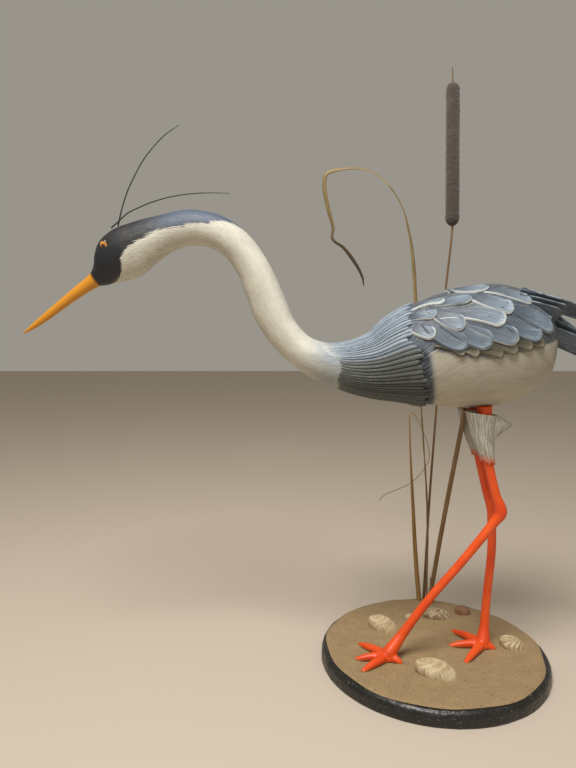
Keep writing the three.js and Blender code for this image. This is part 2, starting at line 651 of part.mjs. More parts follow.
function buildReeds(group) {
  const straw = paint(0x8a6a35, 0.75);
  const stem = tube(CATTAIL_STEM, CATTAIL_STEM_RADIUS, 5, 18);
  const bore = toManifold(tube(CATTAIL_STEM, CATTAIL_STEM_RADIUS + 2 * GAP, 5, 18));
  group.add(node('cattail_stem', planted(stem), straw));
  group.add(node('cattail_head', fromManifold(cattailHead(bore)), paint(0x4a423c, 0.95)));
  group.add(node('bent_leaf', planted(leafSolid()), straw.clone()));
  group.add(node('thin_reed', planted(limb(THIN_REED, 5, 60)), straw.clone()));
  group.add(node('thick_reed', planted(tube(THICK_REED, THICK_REED_RADIUS, 8, 8)), straw.clone()));
  STUBS.forEach(({ x, y, lean, height, r }, i) => {
    const points = [[x, y, ROOTED], [x + lean, y, STANDING + height]];
    group.add(node(`reed_stub_${i + 1}`, planted(tube(points, r, 6, 2)), straw.clone()));
  });
}

const group = new THREE.Group();
group.add(node('base', closed(baseDisc()), paint(0x14141a, 0.45)));
group.add(node('sand_bed', closed(sandBed()), paint(0x8f7448, 0.95)));
buildHeron(group);
buildReeds(group);
SHELLS.forEach((shell) => group.add(node(shell.name, shellSolid(shell), paint(shell.colour, 0.7))));

export default group;
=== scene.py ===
# A carved and painted wooden heron wading on a sanded black base, with dried reeds and shells.
# Tables are in millimetres, in the part's own frame, and each mesh is turned into metres as it is made.
from math import radians

import bpy
import numpy as np
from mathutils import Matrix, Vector, noise


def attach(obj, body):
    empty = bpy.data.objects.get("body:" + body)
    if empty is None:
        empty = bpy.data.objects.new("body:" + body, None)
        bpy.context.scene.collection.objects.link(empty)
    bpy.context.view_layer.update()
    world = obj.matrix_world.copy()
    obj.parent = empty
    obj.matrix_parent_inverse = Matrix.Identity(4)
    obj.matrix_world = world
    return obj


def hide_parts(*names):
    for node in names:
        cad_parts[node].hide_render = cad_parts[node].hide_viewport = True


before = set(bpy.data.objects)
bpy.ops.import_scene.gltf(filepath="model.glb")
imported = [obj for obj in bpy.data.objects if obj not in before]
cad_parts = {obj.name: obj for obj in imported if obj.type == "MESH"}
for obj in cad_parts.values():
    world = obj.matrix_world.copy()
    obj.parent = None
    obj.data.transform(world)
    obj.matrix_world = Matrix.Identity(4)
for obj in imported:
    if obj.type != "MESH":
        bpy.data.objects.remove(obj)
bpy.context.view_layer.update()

# Driving dimensions, as in the part
MM = 0.001
BASE_RADIUS = 178
BASE_HEIGHT = 22.5
SAND_RADIUS = 170
GROUND = 25.2  # top of the sand
MID_Y = -17  # the bird's plane of symmetry

# The figure's spine from bill tip to rump: x, z, then the reach above it, below it and to each side
SPINE = np.array([
    (-632.5, 523.0, 0.6, 0.6, 0.6), (-620.0, 531.5, 3.4, 3.4, 3.2), (-598.0, 547.5, 5.8, 5.8, 5.2),
    (-556.0, 579.5, 8.0, 8.0, 7.0), (-522.0, 603.5, 11.4, 11.6, 10.0), (-510.0, 612.0, 19.0, 19.0, 15.5),
    (-497.0, 623.5, 32.0, 29.5, 23.5), (-484.0, 634.5, 38.8, 36.5, 26.5), (-468.0, 645.5, 39.2, 39.2, 27.5),
    (-442.0, 659.7, 33.4, 33.4, 26.0), (-411.0, 672.7, 27.6, 27.6, 24.0), (-375.0, 680.2, 26.0, 26.0, 23.0),
    (-340.0, 674.5, 24.7, 24.7, 22.5), (-310.0, 655.0, 24.0, 24.0, 22.5), (-286.3, 624.2, 24.3, 24.3, 23.0),
    (-270.2, 589.0, 26.2, 26.2, 24.0), (-258.2, 558.4, 27.1, 27.1, 24.5), (-241.6, 527.6, 25.0, 25.0, 24.5),
    (-215.5, 499.4, 25.0, 25.0, 25.5), (-179.7, 480.8, 29.3, 29.3, 29.5), (-139.7, 472.8, 38.0, 38.0, 37.5),
    (-100.4, 474.4, 49.4, 49.4, 48.0), (-59.6, 484.4, 68.0, 68.0, 60.0), (-19.2, 493.5, 80.0, 81.0, 69.0),
    (20.3, 500.0, 87.5, 90.0, 74.0), (60.0, 505.5, 91.0, 93.5, 76.0), (95.0, 508.5, 89.0, 90.0, 73.0),
    (120.0, 511.5, 81.0, 79.0, 66.0), (140.0, 514.5, 68.0, 66.0, 56.0), (153.0, 517.0, 54.0, 52.0, 44.0),
    (162.0, 518.5, 38.0, 37.5, 31.0), (167.0, 519.0, 22.0, 23.0, 18.0), (168.5, 519.3, 9.0, 9.5, 7.0),
])
BODY_STEP = 2.4  # between rings of the skin
BODY_SIDES = 128

# Edges of the painted and carved areas: spine x, then degrees down from the ridge
CAP_EDGE = [(-511, 180), (-496, 140), (-485, 115), (-479, 98), (-462, 88), (-439, 84), (-419, 80), (-386, 90),
            (-351, 76), (-334, 44), (-318, 20), (-308, 0)]
CAPE_START = [(-211, 0), (-186, 56), (-170, 71), (-159, 94), (-160, 126), (-155, 180)]
CAPE_EDGE = [(-32, 0), (-38, 27), (-44, 44), (-51, 62), (-48, 73), (-39, 88), (-43, 96), (-42, 126), (-42, 180)]
WING_EDGE = [(-59, 66), (-45, 76), (-32, 84), (-14, 88), (1, 92), (14, 95), (34, 98), (52, 99), (79, 97),
             (107, 96), (127, 95), (148, 94)]

# Paints, as linear colours
WHITE = (0.70, 0.68, 0.60)
CREAM = (0.52, 0.49, 0.38)
OLIVE = (0.20, 0.18, 0.11)
BLACK = (0.012, 0.013, 0.016)
NAPE_BLUE = (0.075, 0.10, 0.15)
BLUE = (0.20, 0.26, 0.33)
PALE_BLUE = (0.46, 0.53, 0.60)
SLATE = (0.060, 0.078, 0.105)
NAVY = (0.013, 0.020, 0.032)
BELLY = (0.46, 0.43, 0.35)
BILL = (0.62, 0.25, 0.012)
BILL_DARK = (0.22, 0.10, 0.02)
BROWN_GREY = (0.17, 0.15, 0.10)


def smooth_at(stops, values, s):
    """Smooth interpolation of numbers given at uneven stops, as in the part."""
    last = len(stops) - 1
    i = np.clip(np.searchsorted(stops, s) - 1, 0, last - 1)
    ends = np.arange(last + 1)
    before, after = np.maximum(ends - 1, 0), np.minimum(ends + 1, last)
    slope = (values[after] - values[before]) / (stops[after] - stops[before])
    step = stops[i + 1] - stops[i]
    t = (s - stops[i]) / step
    rise = values[i + 1] - values[i]
    m0, m1 = slope[i] * step, slope[i + 1] * step
    return values[i] + t * (m0 + t * (3 * rise - 2 * m0 - m1 + t * (m0 + m1 - 2 * rise)))


def stops_along(places):
    """Distance along a line of places, at each of them."""
    return np.r_[0, np.cumsum(np.linalg.norm(np.diff(places, axis=0), axis=1))]


SPINE_STOPS = stops_along(SPINE[:, :2])
SPINE_LENGTH = SPINE_STOPS[-1]


def spine_value(column, s):
    return smooth_at(SPINE_STOPS, SPINE[:, column], np.clip(s, 0, SPINE_LENGTH))


def spine_at(x):
    """Distance along the spine at which it reaches a place x."""
    return np.interp(x, SPINE[:, 0], SPINE_STOPS)


def girth_radius(s):
    """Mean radius of the figure's section, which turns an angle round it into a distance."""
    return (spine_value(2, s) + spine_value(3, s) + 2 * spine_value(4, s)) / 4


def skin(s, around, lift=0.0):
    """Points on the figure: s along the spine, around from the ridge, positive towards the viewer."""
    s, around, lift = np.broadcast_arrays(np.asarray(s, float), around, lift)
    reach = 1.5
    ahead, behind = np.minimum(s + reach, SPINE_LENGTH), np.maximum(s - reach, 0)
    dx = spine_value(0, ahead) - spine_value(0, behind)
    dz = spine_value(1, ahead) - spine_value(1, behind)
    length = np.hypot(dx, dz)
    rise = np.cos(around)
    depth = (np.where(rise > 0, spine_value(2, s), spine_value(3, s)) + lift) * rise
    sideways = (spine_value(4, s) + lift) * np.sin(around)
    x = spine_value(0, s) - dz / length * depth
    z = spine_value(1, s) + dx / length * depth
    return np.stack([x, MID_Y - sideways, z], axis=-1)


def ramp(value, low, high):
    """0 below low, 1 above high, and a smooth rise between them."""
    t = np.clip((value - low) / (high - low), 0, 1)
    return t * t * (3 - 2 * t)


def blend(a, b, share):
    """Colour a turned into colour b by a share from 0 to 1, at each point."""
    share = np.asarray(share, float)[..., None]
    return np.asarray(a) * (1 - share) + np.asarray(b) * share


def edge_at(edge, angle):
    """Spine distance of an edge table at each angle round the body, the same on both sides."""
    places, degrees = np.array(edge, float).T
    return spine_at(np.interp(np.degrees(np.abs(angle)), degrees, places))


def wobble(points, size, seed=0):
    """Smooth noise from about -1 to 1 at each point, with bumps of about that size."""
    flat = np.asarray(points, float).reshape(-1, 3) / size + 17.3 * seed
    return np.array([noise.noise(Vector(p)) for p in flat]).reshape(points.shape[:-1])


# Mesh parts: points, faces and named values at the points
def ring_part(rings, fields, looped=True):
    """A closed surface through rings of points, its two ends closed by a flat face."""
    rows, sides = rings.shape[:2]
    row, side = np.meshgrid(np.arange(rows - 1), np.arange(sides), indexing="ij")
    after = (side + 1) % sides
    quads = np.stack([row * sides + side, row * sides + after, (row + 1) * sides + after,
                      (row + 1) * sides + side], axis=-1).reshape(-1, 4)
    faces = quads.tolist()
    faces.append(list(range(sides))[::-1])
    faces.append(list(range((rows - 1) * sides, rows * sides)))
    values = {name: np.asarray(value, float).reshape(rows * sides, -1) for name, value in fields.items()}
    return outward({"points": rings.reshape(-1, 3), "faces": faces, "fields": values})


def plate_part(top, bottom, fields):
    """A closed plate between two grids of points."""
    rings = np.concatenate([top, bottom[:, ::-1]], axis=1)
    both = {}
    for name, value in fields.items():
        value = np.asarray(value, float)
        both[name] = np.concatenate([value, value[:, ::-1]], axis=1)
    return ring_part(rings, both)


def outward(part):
    """The part with its faces turned outwards."""
    points = part["points"]
    middle = points.mean(axis=0)
    volume = 0.0
    for face in part["faces"]:
        a, b, c = points[face[0]] - middle, points[face[1]] - middle, points[face[2]] - middle
        volume += float(a[0] * (b[1] * c[2] - b[2] * c[1]) + a[1] * (b[2] * c[0] - b[0] * c[2])
                        + a[2] * (b[0] * c[1] - b[1] * c[0]))
        if len(face) == 4:
            d = points[face[3]] - middle
            volume += float(a[0] * (c[1] * d[2] - c[2] * d[1]) + a[1] * (c[2] * d[0] - c[0] * d[2])
                            + a[2] * (c[0] * d[1] - c[1] * d[0]))
    if volume < 0:
        part["faces"] = [face[::-1] for face in part["faces"]]
    return part


def fill(part, fields):
    """The part with constant values for the named fields it lacks."""
    count = len(part["points"])
    for name, value in fields.items():
        if name not in part["fields"]:
            part["fields"][name] = np.tile(np.atleast_1d(np.asarray(value, float)), (count, 1))
    return part


def mesh_piece(name, parts, material, nodes, sharp=40):
    """One object made of the parts, in place of the named nodes."""
    points, faces, first = [], [], 0
    for part in parts:
        points.append(part["points"])
        faces.extend([[first + i for i in face] for face in part["faces"]])
        first += len(part["points"])
    mesh = bpy.data.meshes.new(name)
    mesh.from_pydata((np.concatenate(points) * MM).tolist(), [], faces)
    for field in parts[0]["fields"]:
        values = np.concatenate([part["fields"][field] for part in parts])
        kind = "FLOAT_VECTOR" if values.shape[1] == 3 else "FLOAT"
        layer = mesh.attributes.new(field, kind, "POINT")
        layer.data.foreach_set("vector" if values.shape[1] == 3 else "value", values.ravel())
    mesh.validate()
    mesh.shade_smooth()
    mesh.set_sharp_from_angle(angle=radians(sharp))
    mesh.materials.append(material)
    piece = bpy.data.objects.new(name, mesh)
    bpy.context.scene.collection.objects.link(piece)
    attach(piece, "root")
    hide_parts(*nodes)
    return piece


# Materials
class Paint:
    """A material built step by step: each method adds a node and gives its output."""

    def __init__(self, name, roughness=0.6, **shader):
        self.material = bpy.data.materials.new(name)
        self.material.use_nodes = True
        self.nodes = self.material.node_tree.nodes
        self.links = self.material.node_tree.links
        self.shader = self.nodes["Principled BSDF"]
        self.shader.inputs["Roughness"].default_value = roughness
        for socket, value in shader.items():
            self.shader.inputs[socket.replace("_", " ")].default_value = value

    def put(self, socket, value):
        if isinstance(value, bpy.types.NodeSocket):
            self.links.new(value, socket)
        elif isinstance(value, (int, float)):
            socket.default_value = value
        else:
            socket.default_value = (*value, 1.0) if len(socket.default_value) == 4 else value

    def field(self, name):
        node = self.nodes.new("ShaderNodeAttribute")
        node.attribute_name = name
        return node.outputs["Vector"]

    def number(self, name):
        node = self.nodes.new("ShaderNodeAttribute")
        node.attribute_name = name
        return node.outputs["Fac"]

    def place(self):
        return self.nodes.new("ShaderNodeTexCoord").outputs["Object"]

    def scaled(self, vector, scale):
        node = self.nodes.new("ShaderNodeVectorMath")
        node.operation = "MULTIPLY"
        self.put(node.inputs[0], vector)
        self.put(node.inputs[1], scale if len(np.atleast_1d(scale)) == 3 else (scale, scale, scale))
        return node.outputs["Vector"]

    def noise(self, vector, scale=1.0, detail=2.0, roughness=0.5, distortion=0.0):
        node = self.nodes.new("ShaderNodeTexNoise")
        self.put(node.inputs["Vector"], vector)
        node.inputs["Scale"].default_value = scale
        node.inputs["Detail"].default_value = detail
        node.inputs["Roughness"].default_value = roughness
        node.inputs["Distortion"].default_value = distortion
        return node.outputs["Fac"]

    def maths(self, operation, a, b=0.0, clamp=False):
        node = self.nodes.new("ShaderNodeMath")
        node.operation = operation
        node.use_clamp = clamp
        self.put(node.inputs[0], a)
        self.put(node.inputs[1], b)
        return node.outputs["Value"]

    def rise(self, value, low, high):
        """0 below low and 1 above high, or the other way round when low is the greater."""
        node = self.nodes.new("ShaderNodeMapRange")
        node.interpolation_type = "SMOOTHSTEP"
        turned = low > high
        self.put(node.inputs["Value"], value)
        node.inputs["From Min"].default_value = min(low, high)
        node.inputs["From Max"].default_value = max(low, high)
        node.inputs["To Min"].default_value = 1.0 if turned else 0.0
        node.inputs["To Max"].default_value = 0.0 if turned else 1.0
        return node.outputs["Result"]

    def mix(self, share, a, b, mode="MIX"):
        node = self.nodes.new("ShaderNodeMix")
        node.data_type = "RGBA"
        node.blend_type = mode
        self.put(node.inputs[0], share)
        self.put(node.inputs[6], a)
        self.put(node.inputs[7], b)
        return node.outputs[2]

    def bump(self, height, depth_mm, normal=None):
        node = self.nodes.new("ShaderNodeBump")
        node.inputs["Strength"].default_value = 1.0
        node.inputs["Distance"].default_value = depth_mm * MM
        self.put(node.inputs["Height"], height)
        if normal is not None:
            self.put(node.inputs["Normal"], normal)
        self.put(self.shader.inputs["Normal"], node.outputs["Normal"])
        return node.outputs["Normal"]

    def colour(self, value):
        self.put(self.shader.inputs["Base Color"], value)

    def gloss(self, value):
        self.put(self.shader.inputs["Roughness"], value)


def plumage_paint():
    """Brushed paint: paint is the ground colour, light and dark strokes run along the grain."""
    paint = Paint("brushed plumage paint", roughness=0.5)
    grain = paint.field("grain")
    strokes = paint.noise(paint.scaled(grain, (0.035, 0.75, 1.0)), detail=3.0, roughness=0.6)
    fine = paint.noise(paint.scaled(grain, (0.09, 2.2, 1.0)), detail=2.0, roughness=0.6)
    broad = paint.noise(paint.scaled(grain, (0.02, 0.06, 1.0)), detail=2.0)
    light_share = paint.maths("MULTIPLY", paint.rise(strokes, 0.50, 0.68), paint.number("light"))
    dark_share = paint.maths("MULTIPLY", paint.rise(fine, 0.52, 0.36), paint.number("dark"))
    colour = paint.mix(paint.rise(broad, 0.3, 0.7), paint.mix(0.14, paint.field("paint"), (0, 0, 0)),
                       paint.field("paint"))
    colour = paint.mix(light_share, colour, paint.field("light_paint"))
    colour = paint.mix(dark_share, colour, paint.field("dark_paint"))
    # A second paint laid over the first with a brushy edge
    brushy = paint.maths("ADD", paint.number("over"), paint.maths(
        "MULTIPLY", paint.maths("SUBTRACT", strokes, 0.5), paint.number("brush")))
    brushy = paint.maths("ADD", brushy, paint.maths(
        "MULTIPLY", paint.maths("SUBTRACT", fine, 0.5), paint.maths("MULTIPLY", paint.number("brush"), 0.6)))
    colour = paint.mix(paint.rise(brushy, -0.6, 0.6), colour, paint.field("over_paint"))
    paint.colour(colour)
    height = paint.maths("ADD", strokes, paint.maths("MULTIPLY", fine, 0.5))
    paint.bump(height, 0.5)
    paint.gloss(paint.maths("ADD", paint.maths("MULTIPLY", fine, 0.25), 0.36))
    return paint.material


PLUMAGE_FIELDS = {
    "light": 0.0, "dark": 0.0, "light_paint": PALE_BLUE, "dark_paint": SLATE,
    "over": -30.0, "brush": 6.0, "over_paint": BLACK,
}


def signed_distance(edge, s, around):
    """Distance in mm to an edge table, positive on its front and upper side."""
    path = np.array(edge, float)
    along = spine_at(path[:, 0])
    angle = np.radians(path[:, 1])
    girth = girth_radius(s)
    nearest = np.full(s.shape, np.inf)
    for i in range(len(path) - 1):
        start = np.stack([s - along[i], (np.abs(around) - angle[i]) * girth], axis=-1)
        step = np.stack([np.full(s.shape, along[i + 1] - along[i]), (angle[i + 1] - angle[i]) * girth], axis=-1)
        share = np.clip((start * step).sum(-1) / (step * step).sum(-1), 0, 1)
        nearest = np.minimum(nearest, np.linalg.norm(start - share[..., None] * step, axis=-1))
    order = np.argsort(along)
    inside = np.abs(around) < np.interp(s, along[order], angle[order], left=np.pi + 1, right=-1)
    return np.where(inside, nearest, -nearest)


def body_part():
    """Bill, head, neck and body: one smooth skin with the painted areas as values on it."""
    s = np.linspace(0, SPINE_LENGTH, int(SPINE_LENGTH / BODY_STEP))
    around = np.linspace(-np.pi, np.pi, BODY_SIDES, endpoint=False)
    s, around = np.meshgrid(s, around, indexing="ij")
    x = np.interp(s, SPINE_STOPS, SPINE[:, 0])
    degrees = np.degrees(np.abs(around))
    plain = skin(s, around)
    lift = 0.5 * wobble(plain, 26) + 0.2 * wobble(plain, 9, 1)
    lift = lift * ramp(x, -560, -500)
    cap = signed_distance(CAP_EDGE, s, around)
    # The cap's paint stands a little proud and the bill is set in at its root
    lift += 0.35 * ramp(cap, -1, 1) * ramp(x, -521, -517)
    wing = np.interp(x, *np.array(WING_EDGE, float).T)
    over_wing = ramp(wing - degrees, -1.5, 1.5) * ramp(x, -60, -56)
    cape_share = ramp(x, -215, -165)
    # The neck turns darker cream towards its underside: partly cream paint, partly painted shade.
    colour = blend(WHITE, CREAM, 0.5 * ramp(degrees, 60, 130))
    colour = blend(colour, blend(BLUE, CREAM, 0.5 * ramp(degrees, 50, 110)), cape_share)
    colour = blend(colour, BELLY, ramp(x, -34, -26))
    colour = blend(colour, NAVY, ramp(x, -60, -50) * (1 - ramp(x, -36, -27)))
    colour = blend(colour, SLATE, over_wing)
    light = 0.35 + 0.3 * ramp(-x, -60, 60)
    # More olive strokes on the underside of the neck and head: partly olive paint, partly painted shade.
    dark = 0.22 + 0.25 * ramp(-cap, 40, 0) + 0.2 * ramp(degrees, 90, 150) * ramp(-x, 150, 260)
    nape = ramp(x, -450, -385)
    bill = 1 - ramp(x, -522.5, -519.5)
    return ring_part(skin(s, around, lift), {
        "paint": colour,
        "light": light,
        "dark": dark,
        "light_paint": blend(blend(WHITE, PALE_BLUE, ramp(x, -230, -190)), WHITE, ramp(x, -30, -20)),
        "dark_paint": blend(OLIVE, SLATE, ramp(x, -230, -180) * (1 - ramp(x, -30, -20))),
        "over": np.where(bill > 0.5, 4, cap),
        "brush": np.where(bill > 0.5, 0, 14),
        "over_paint": blend(blend(BLACK, NAPE_BLUE, nape), BILL, bill),
        "grain": np.stack([s, around * girth_radius(s), np.zeros_like(s)], axis=-1),
    })


def cape_part():
    """The grooved cape: strands that grow out of the neck and end in a ragged raised edge."""
    rng = np.random.default_rng(4)
    strands = 92
    per_strand = 8
    rows = 66
    around = np.linspace(-np.pi, np.pi, strands * per_strand, endpoint=False)
    # Strands are wide on the back and fine below
    warped = around + 0.18 * np.sin(2 * around)
    strand = warped / (2 * np.pi) * strands
    index = np.floor(strand).astype(int) % strands
    across = 2 * (strand - np.floor(strand)) - 1
    end = rng.uniform(-6.5, 3.0, strands)[index]
    height = rng.uniform(0.55, 1.0, strands)[index]
    shade = rng.uniform(0, 1, strands)[index]
    start = edge_at(CAPE_START, around) - 14
    rounded = 3.5 * (1 - np.sqrt(np.clip(1 - across ** 2, 0, 1)))
    finish = edge_at(CAPE_EDGE, around) + end - rounded
    share = np.linspace(0, 1, rows)[:, None]
    s = start + share * (finish - start)
    girth = girth_radius(s)
    angle = around + 0.5 * np.sin(s / 31 + 3 * around) / girth
    ridge = np.sqrt(np.clip(1 - across ** 2, 0, 1))
    growth = ramp(share, 0.0, 0.55)
    fall = 1 - 0.5 * ramp(share, 0.96, 1.0)
    lift = -1.0 + growth * (1.6 + 3.0 * share * height * fall) + 2.1 * growth * (ridge - 0.7) * fall
    lift = lift + 0.8 * ramp(share, 0.0, 0.2)
    top = skin(s, angle, lift)
    bottom = skin(s, angle, np.full_like(s, -1.6))
    degrees = np.degrees(np.abs(around)) + 0 * s
    x = np.interp(s, SPINE_STOPS, SPINE[:, 0])
    low = ramp(degrees, 62, 84)
    ground = blend(BLUE, (0.085, 0.10, 0.10), low)
    ground = blend(ground, blend(WHITE, CREAM, low), 1 - ramp(share + 0 * s, 0.02, 0.32 - 0.16 * low))
    # The grooves between the strands are painted dark navy and get fewer light strokes: painted shade in the grooves.
    groove = (1 - ridge) ** 0.7 * ramp(share, 0.08, 0.5)
    colour = blend(ground, blend(NAVY, (0.02, 0.024, 0.024), low), np.clip(1.15 * groove, 0, 1) * (0.6 + 0.4 * low))
    # Some strands are paler along their crests: partly pale paint streaks, partly painted highlight on the crests.
    pale_streak_and_highlight = ramp(shade, 0.45, 1.0) * ridge ** 2
    colour = blend(colour, blend(PALE_BLUE, (0.22, 0.24, 0.21), low), 0.7 * pale_streak_and_highlight * (1 - 0.55 * low))
    fields = {
        "paint": colour,
        "light": (0.75 - 0.45 * low) * (1 - 0.8 * groove),
        "dark": 0.35 + 0.35 * low,
        "light_paint": blend(blend(WHITE, PALE_BLUE, ramp(x, -200, -150)), (0.30, 0.31, 0.26), low),
        "dark_paint": blend(SLATE, (0.03, 0.035, 0.033), low),
        "over": np.full(s.shape, -30.0),
        "brush": np.full(s.shape, 6.0),
        "over_paint": np.broadcast_to(BLACK, (*s.shape, 3)),
        "grain": np.stack([s, angle * girth, np.full(s.shape, 5.0)], axis=-1),
    }
    rings_top = top
    # The skin runs on the outside from front to back, then returns beneath it
    rings = np.concatenate([rings_top, bottom[::-1]], axis=0)
    both = {name: np.concatenate([value, value[::-1]], axis=0) for name, value in fields.items()}
    return tube_part(rings, both)


def tube_part(rings, fields):
    """A closed skin through rings whose last ring meets the first, such as a sleeve."""
    rows, sides = rings.shape[:2]
    row, side = np.meshgrid(np.arange(rows), np.arange(sides), indexing="ij")
    after, below = (side + 1) % sides, (row + 1) % rows
    quads = np.stack([row * sides + side, row * sides + after, below * sides + after, below * sides + side],
                     axis=-1).reshape(-1, 4)
    values = {name: np.asarray(value, float).reshape(rows * sides, -1) for name, value in fields.items()}
    return outward({"points": rings.reshape(-1, 3), "faces": quads.tolist(), "fields": values})


# Wing feathers of one side: root, middle and tip as spine x and degrees from the ridge, then the
# width, how light the feather is and how white its rim is
WING_FEATHERS = [
    (((103, 86), (117, 90), (129, 93)), 13, 0.30, 0.45, "brown"),
    (((83, 86), (97, 90), (110, 93)), 14, 0.35, 0.5, "brown"),
    (((53, 85), (70, 90), (88, 95)), 15, 0.35, 0.5, "brown"),
    (((24, 86), (46, 91), (67, 97)), 14, 0.30, 0.5, "brown"),
    (((8, 87), (22, 89), (32, 95)), 12, 0.35, 0.9, "brown"),
    (((-13, 81), (2, 86), (14, 93)), 12, 0.25, 0.3, "brown"),
    (((106, 45), (138, 48), (156, 56)), 24, 0.45, 0.5, "blue"),
    (((92, 56), (121, 65), (152, 72)), 27, 0.55, 0.4, "blue"),
    (((74, 66), (100, 76), (128, 81)), 27, 0.35, 0.35, "blue"),
    (((37, 69), (60, 77), (90, 84)), 26, 0.20, 0.8, "blue"),
    (((4, 65), (25, 76), (53, 86)), 28, 0.25, 0.5, "blue"),
    (((-21, 61), (-6, 74), (20, 85)), 26, 0.15, 0.35, "blue"),
    (((64, 27), (95, 37), (125, 43)), 24, 0.55, 0.7, "blue"),
    (((46, 36), (66, 48), (90, 56)), 26, 0.60, 0.8, "blue"),
    (((12, 51), (44, 58), (74, 69)), 25, 0.60, 1.0, "blue"),
    (((-10, 45), (4, 58), (22, 65)), 25, 0.40, 0.7, "blue"),
    (((28, 1), (41, 20), (66, 24)), 24, 0.45, 0.6, "blue"),
    (((-4, 30), (12, 34), (40, 39)), 20, 0.35, 0.5, "blue"),
    (((-44, 53), (-32, 62), (-19, 69)), 19, 0.70, 0.9, "blue"),
    (((-41, 37), (-25, 42), (-11, 48)), 17, 0.65, 0.6, "blue"),
    (((-32, 22), (-14, 25), (4, 34)), 15, 0.75, 0.9, "blue"),
]
FEATHER_ROWS = 34
FEATHER_SIDES = 25


def feather_part(line, width, tone, rim, kind, side, seed):
    """One carved feather: a scooped plate with a raised rounded lip that lies on the skin."""
    rng = np.random.default_rng(seed)
    place = np.array(line, float)
    keys_s, keys_a = spine_at(place[:, 0]), np.radians(place[:, 1])
    reach = np.hypot(keys_s[2] - keys_s[0], (keys_a[2] - keys_a[0]) * girth_radius(keys_s[1]))
    start = -0.3
    cap_start = 1 - 0.55 * width / reach
    body_rows = int(FEATHER_ROWS * 0.6)
    t = np.r_[np.linspace(start, cap_start, body_rows, endpoint=False),
              cap_start + (1 - cap_start) * np.sin(np.linspace(0, np.pi / 2, FEATHER_ROWS - body_rows))]
    v = np.sin(np.linspace(-np.pi / 2, np.pi / 2, FEATHER_SIDES))
    t, v = np.meshgrid(t, v, indexing="ij")

    def through(keys, share):
        return (keys[0] * (2 * share - 1) * (share - 1) + 4 * keys[1] * share * (1 - share)
                + keys[2] * share * (2 * share - 1))

    line_s, line_a = through(keys_s, t), through(keys_a, t)
    girth = girth_radius(line_s)
    step = 0.02
    run = through(keys_s, t + step) - through(keys_s, t - step)
    drop = (through(keys_a, t + step) - through(keys_a, t - step)) * girth
    size = np.hypot(run, drop)
    in_cap = np.clip((t - cap_start) / (1 - cap_start), 0, 1)
    half = width / 2 * (0.72 + 0.28 * ramp(t, start, 0.6)) * np.sqrt(np.clip(1 - in_cap ** 2.4, 0.0006, 1))
    offset = v * half
    s = line_s - drop / size * offset
    angle = line_a + run / size * offset / girth
    edge = np.where(t < cap_start, (1 - np.abs(v)) * half,
                    (1 - np.sqrt(in_cap ** 2 + (v * half * 2 / width) ** 2)) * width / 2)
    edge = np.clip(edge, 0, None)
    free = ramp(v, -0.9, 0.2)
    free = np.maximum(free, ramp(in_cap, 0.0, 0.5))
    rise = 0.6 + 3.4 * np.clip(t, 0, 1) + 1.3 * (v + 1) / 2
    scoop = -1.2 * ramp(edge, 2, 8) * ramp(t, 0.1, 0.7)
    lip = 0.9 * np.exp(-((edge - 1.6) / 1.8) ** 2) * free
    round_off = -1.6 * (1 - ramp(edge, 0.0, 1.6))
    lift = rise + scoop + lip + round_off + 0.3 * rng.uniform(-1, 1)
    top = skin(s, side * angle, lift)
    top += 0.25 * wobble(top, 8, seed)[..., None] * np.array([0, 0, 1])
    bottom = skin(s, side * angle, np.full_like(s, -1.5))
    # Each feather is dark towards its root and lighter towards its tip: partly the painter's shading, partly painted
    # shade where the feather above overlaps it.
    shade = ramp(t, 0.0, 0.95)
    if kind == "brown":
        dark_ground, light_ground, rim_paint = (0.045, 0.045, 0.035), BROWN_GREY, (0.36, 0.34, 0.25)
    else:
        dark_ground, light_ground, rim_paint = SLATE, BLUE, (0.62, 0.66, 0.66)
    colour = blend(dark_ground, light_ground, np.clip(shade * (0.4 + tone), 0, 1))
    fields = {
        "paint": colour,
        "light": 0.15 + 0.75 * tone * shade,
        "dark": 0.25 + 0 * s,
        "light_paint": np.broadcast_to(PALE_BLUE if kind == "blue" else (0.26, 0.25, 0.18), (*s.shape, 3)),
        "dark_paint": np.broadcast_to(dark_ground, (*s.shape, 3)),
        "over": 2.4 * rim * free - 1.0 * edge - 1.4 * (1 - rim),
        "brush": np.full(s.shape, 2.4),
        "over_paint": blend(blend(colour, rim_paint, 0.35 + 0.65 * rim + 0 * s), rim_paint, 0 * s),
        "grain": np.stack([t * reach, offset, np.full(s.shape, 7.0 * seed)], axis=-1),
    }
    return plate_part(top, bottom, fields)


def wing_parts():
    parts = []
    for side in (1, -1):
        for i, (line, width, tone, rim, kind) in enumerate(WING_FEATHERS):
            parts.append(feather_part(line, width, tone, rim, kind, side, 40 + i + 50 * (side < 0)))
    return parts


# Long blades: the wing tips step up to the rear, and the tail is fanned
WING_TIP_ROLL = 48
WING_TIPS = [
    ((92, 45, 566), (162, 36, 548), 27), ((98, 38, 574), (173, 30, 555), 24),
    ((104, 29, 582), (188, 22, 559), 22), ((110, 17, 585), (216, 12, 551), 22),
]
TAIL_FEATHERS = [
    ((150, 0, 565), (240, 0, 497), 0), ((144, 9, 550), (240, 7, 494), 36), ((140, 16, 533), (235, 13, 491), 62),
]
TAIL_WIDTH = 26
BLADE_THICKNESS = 3.4


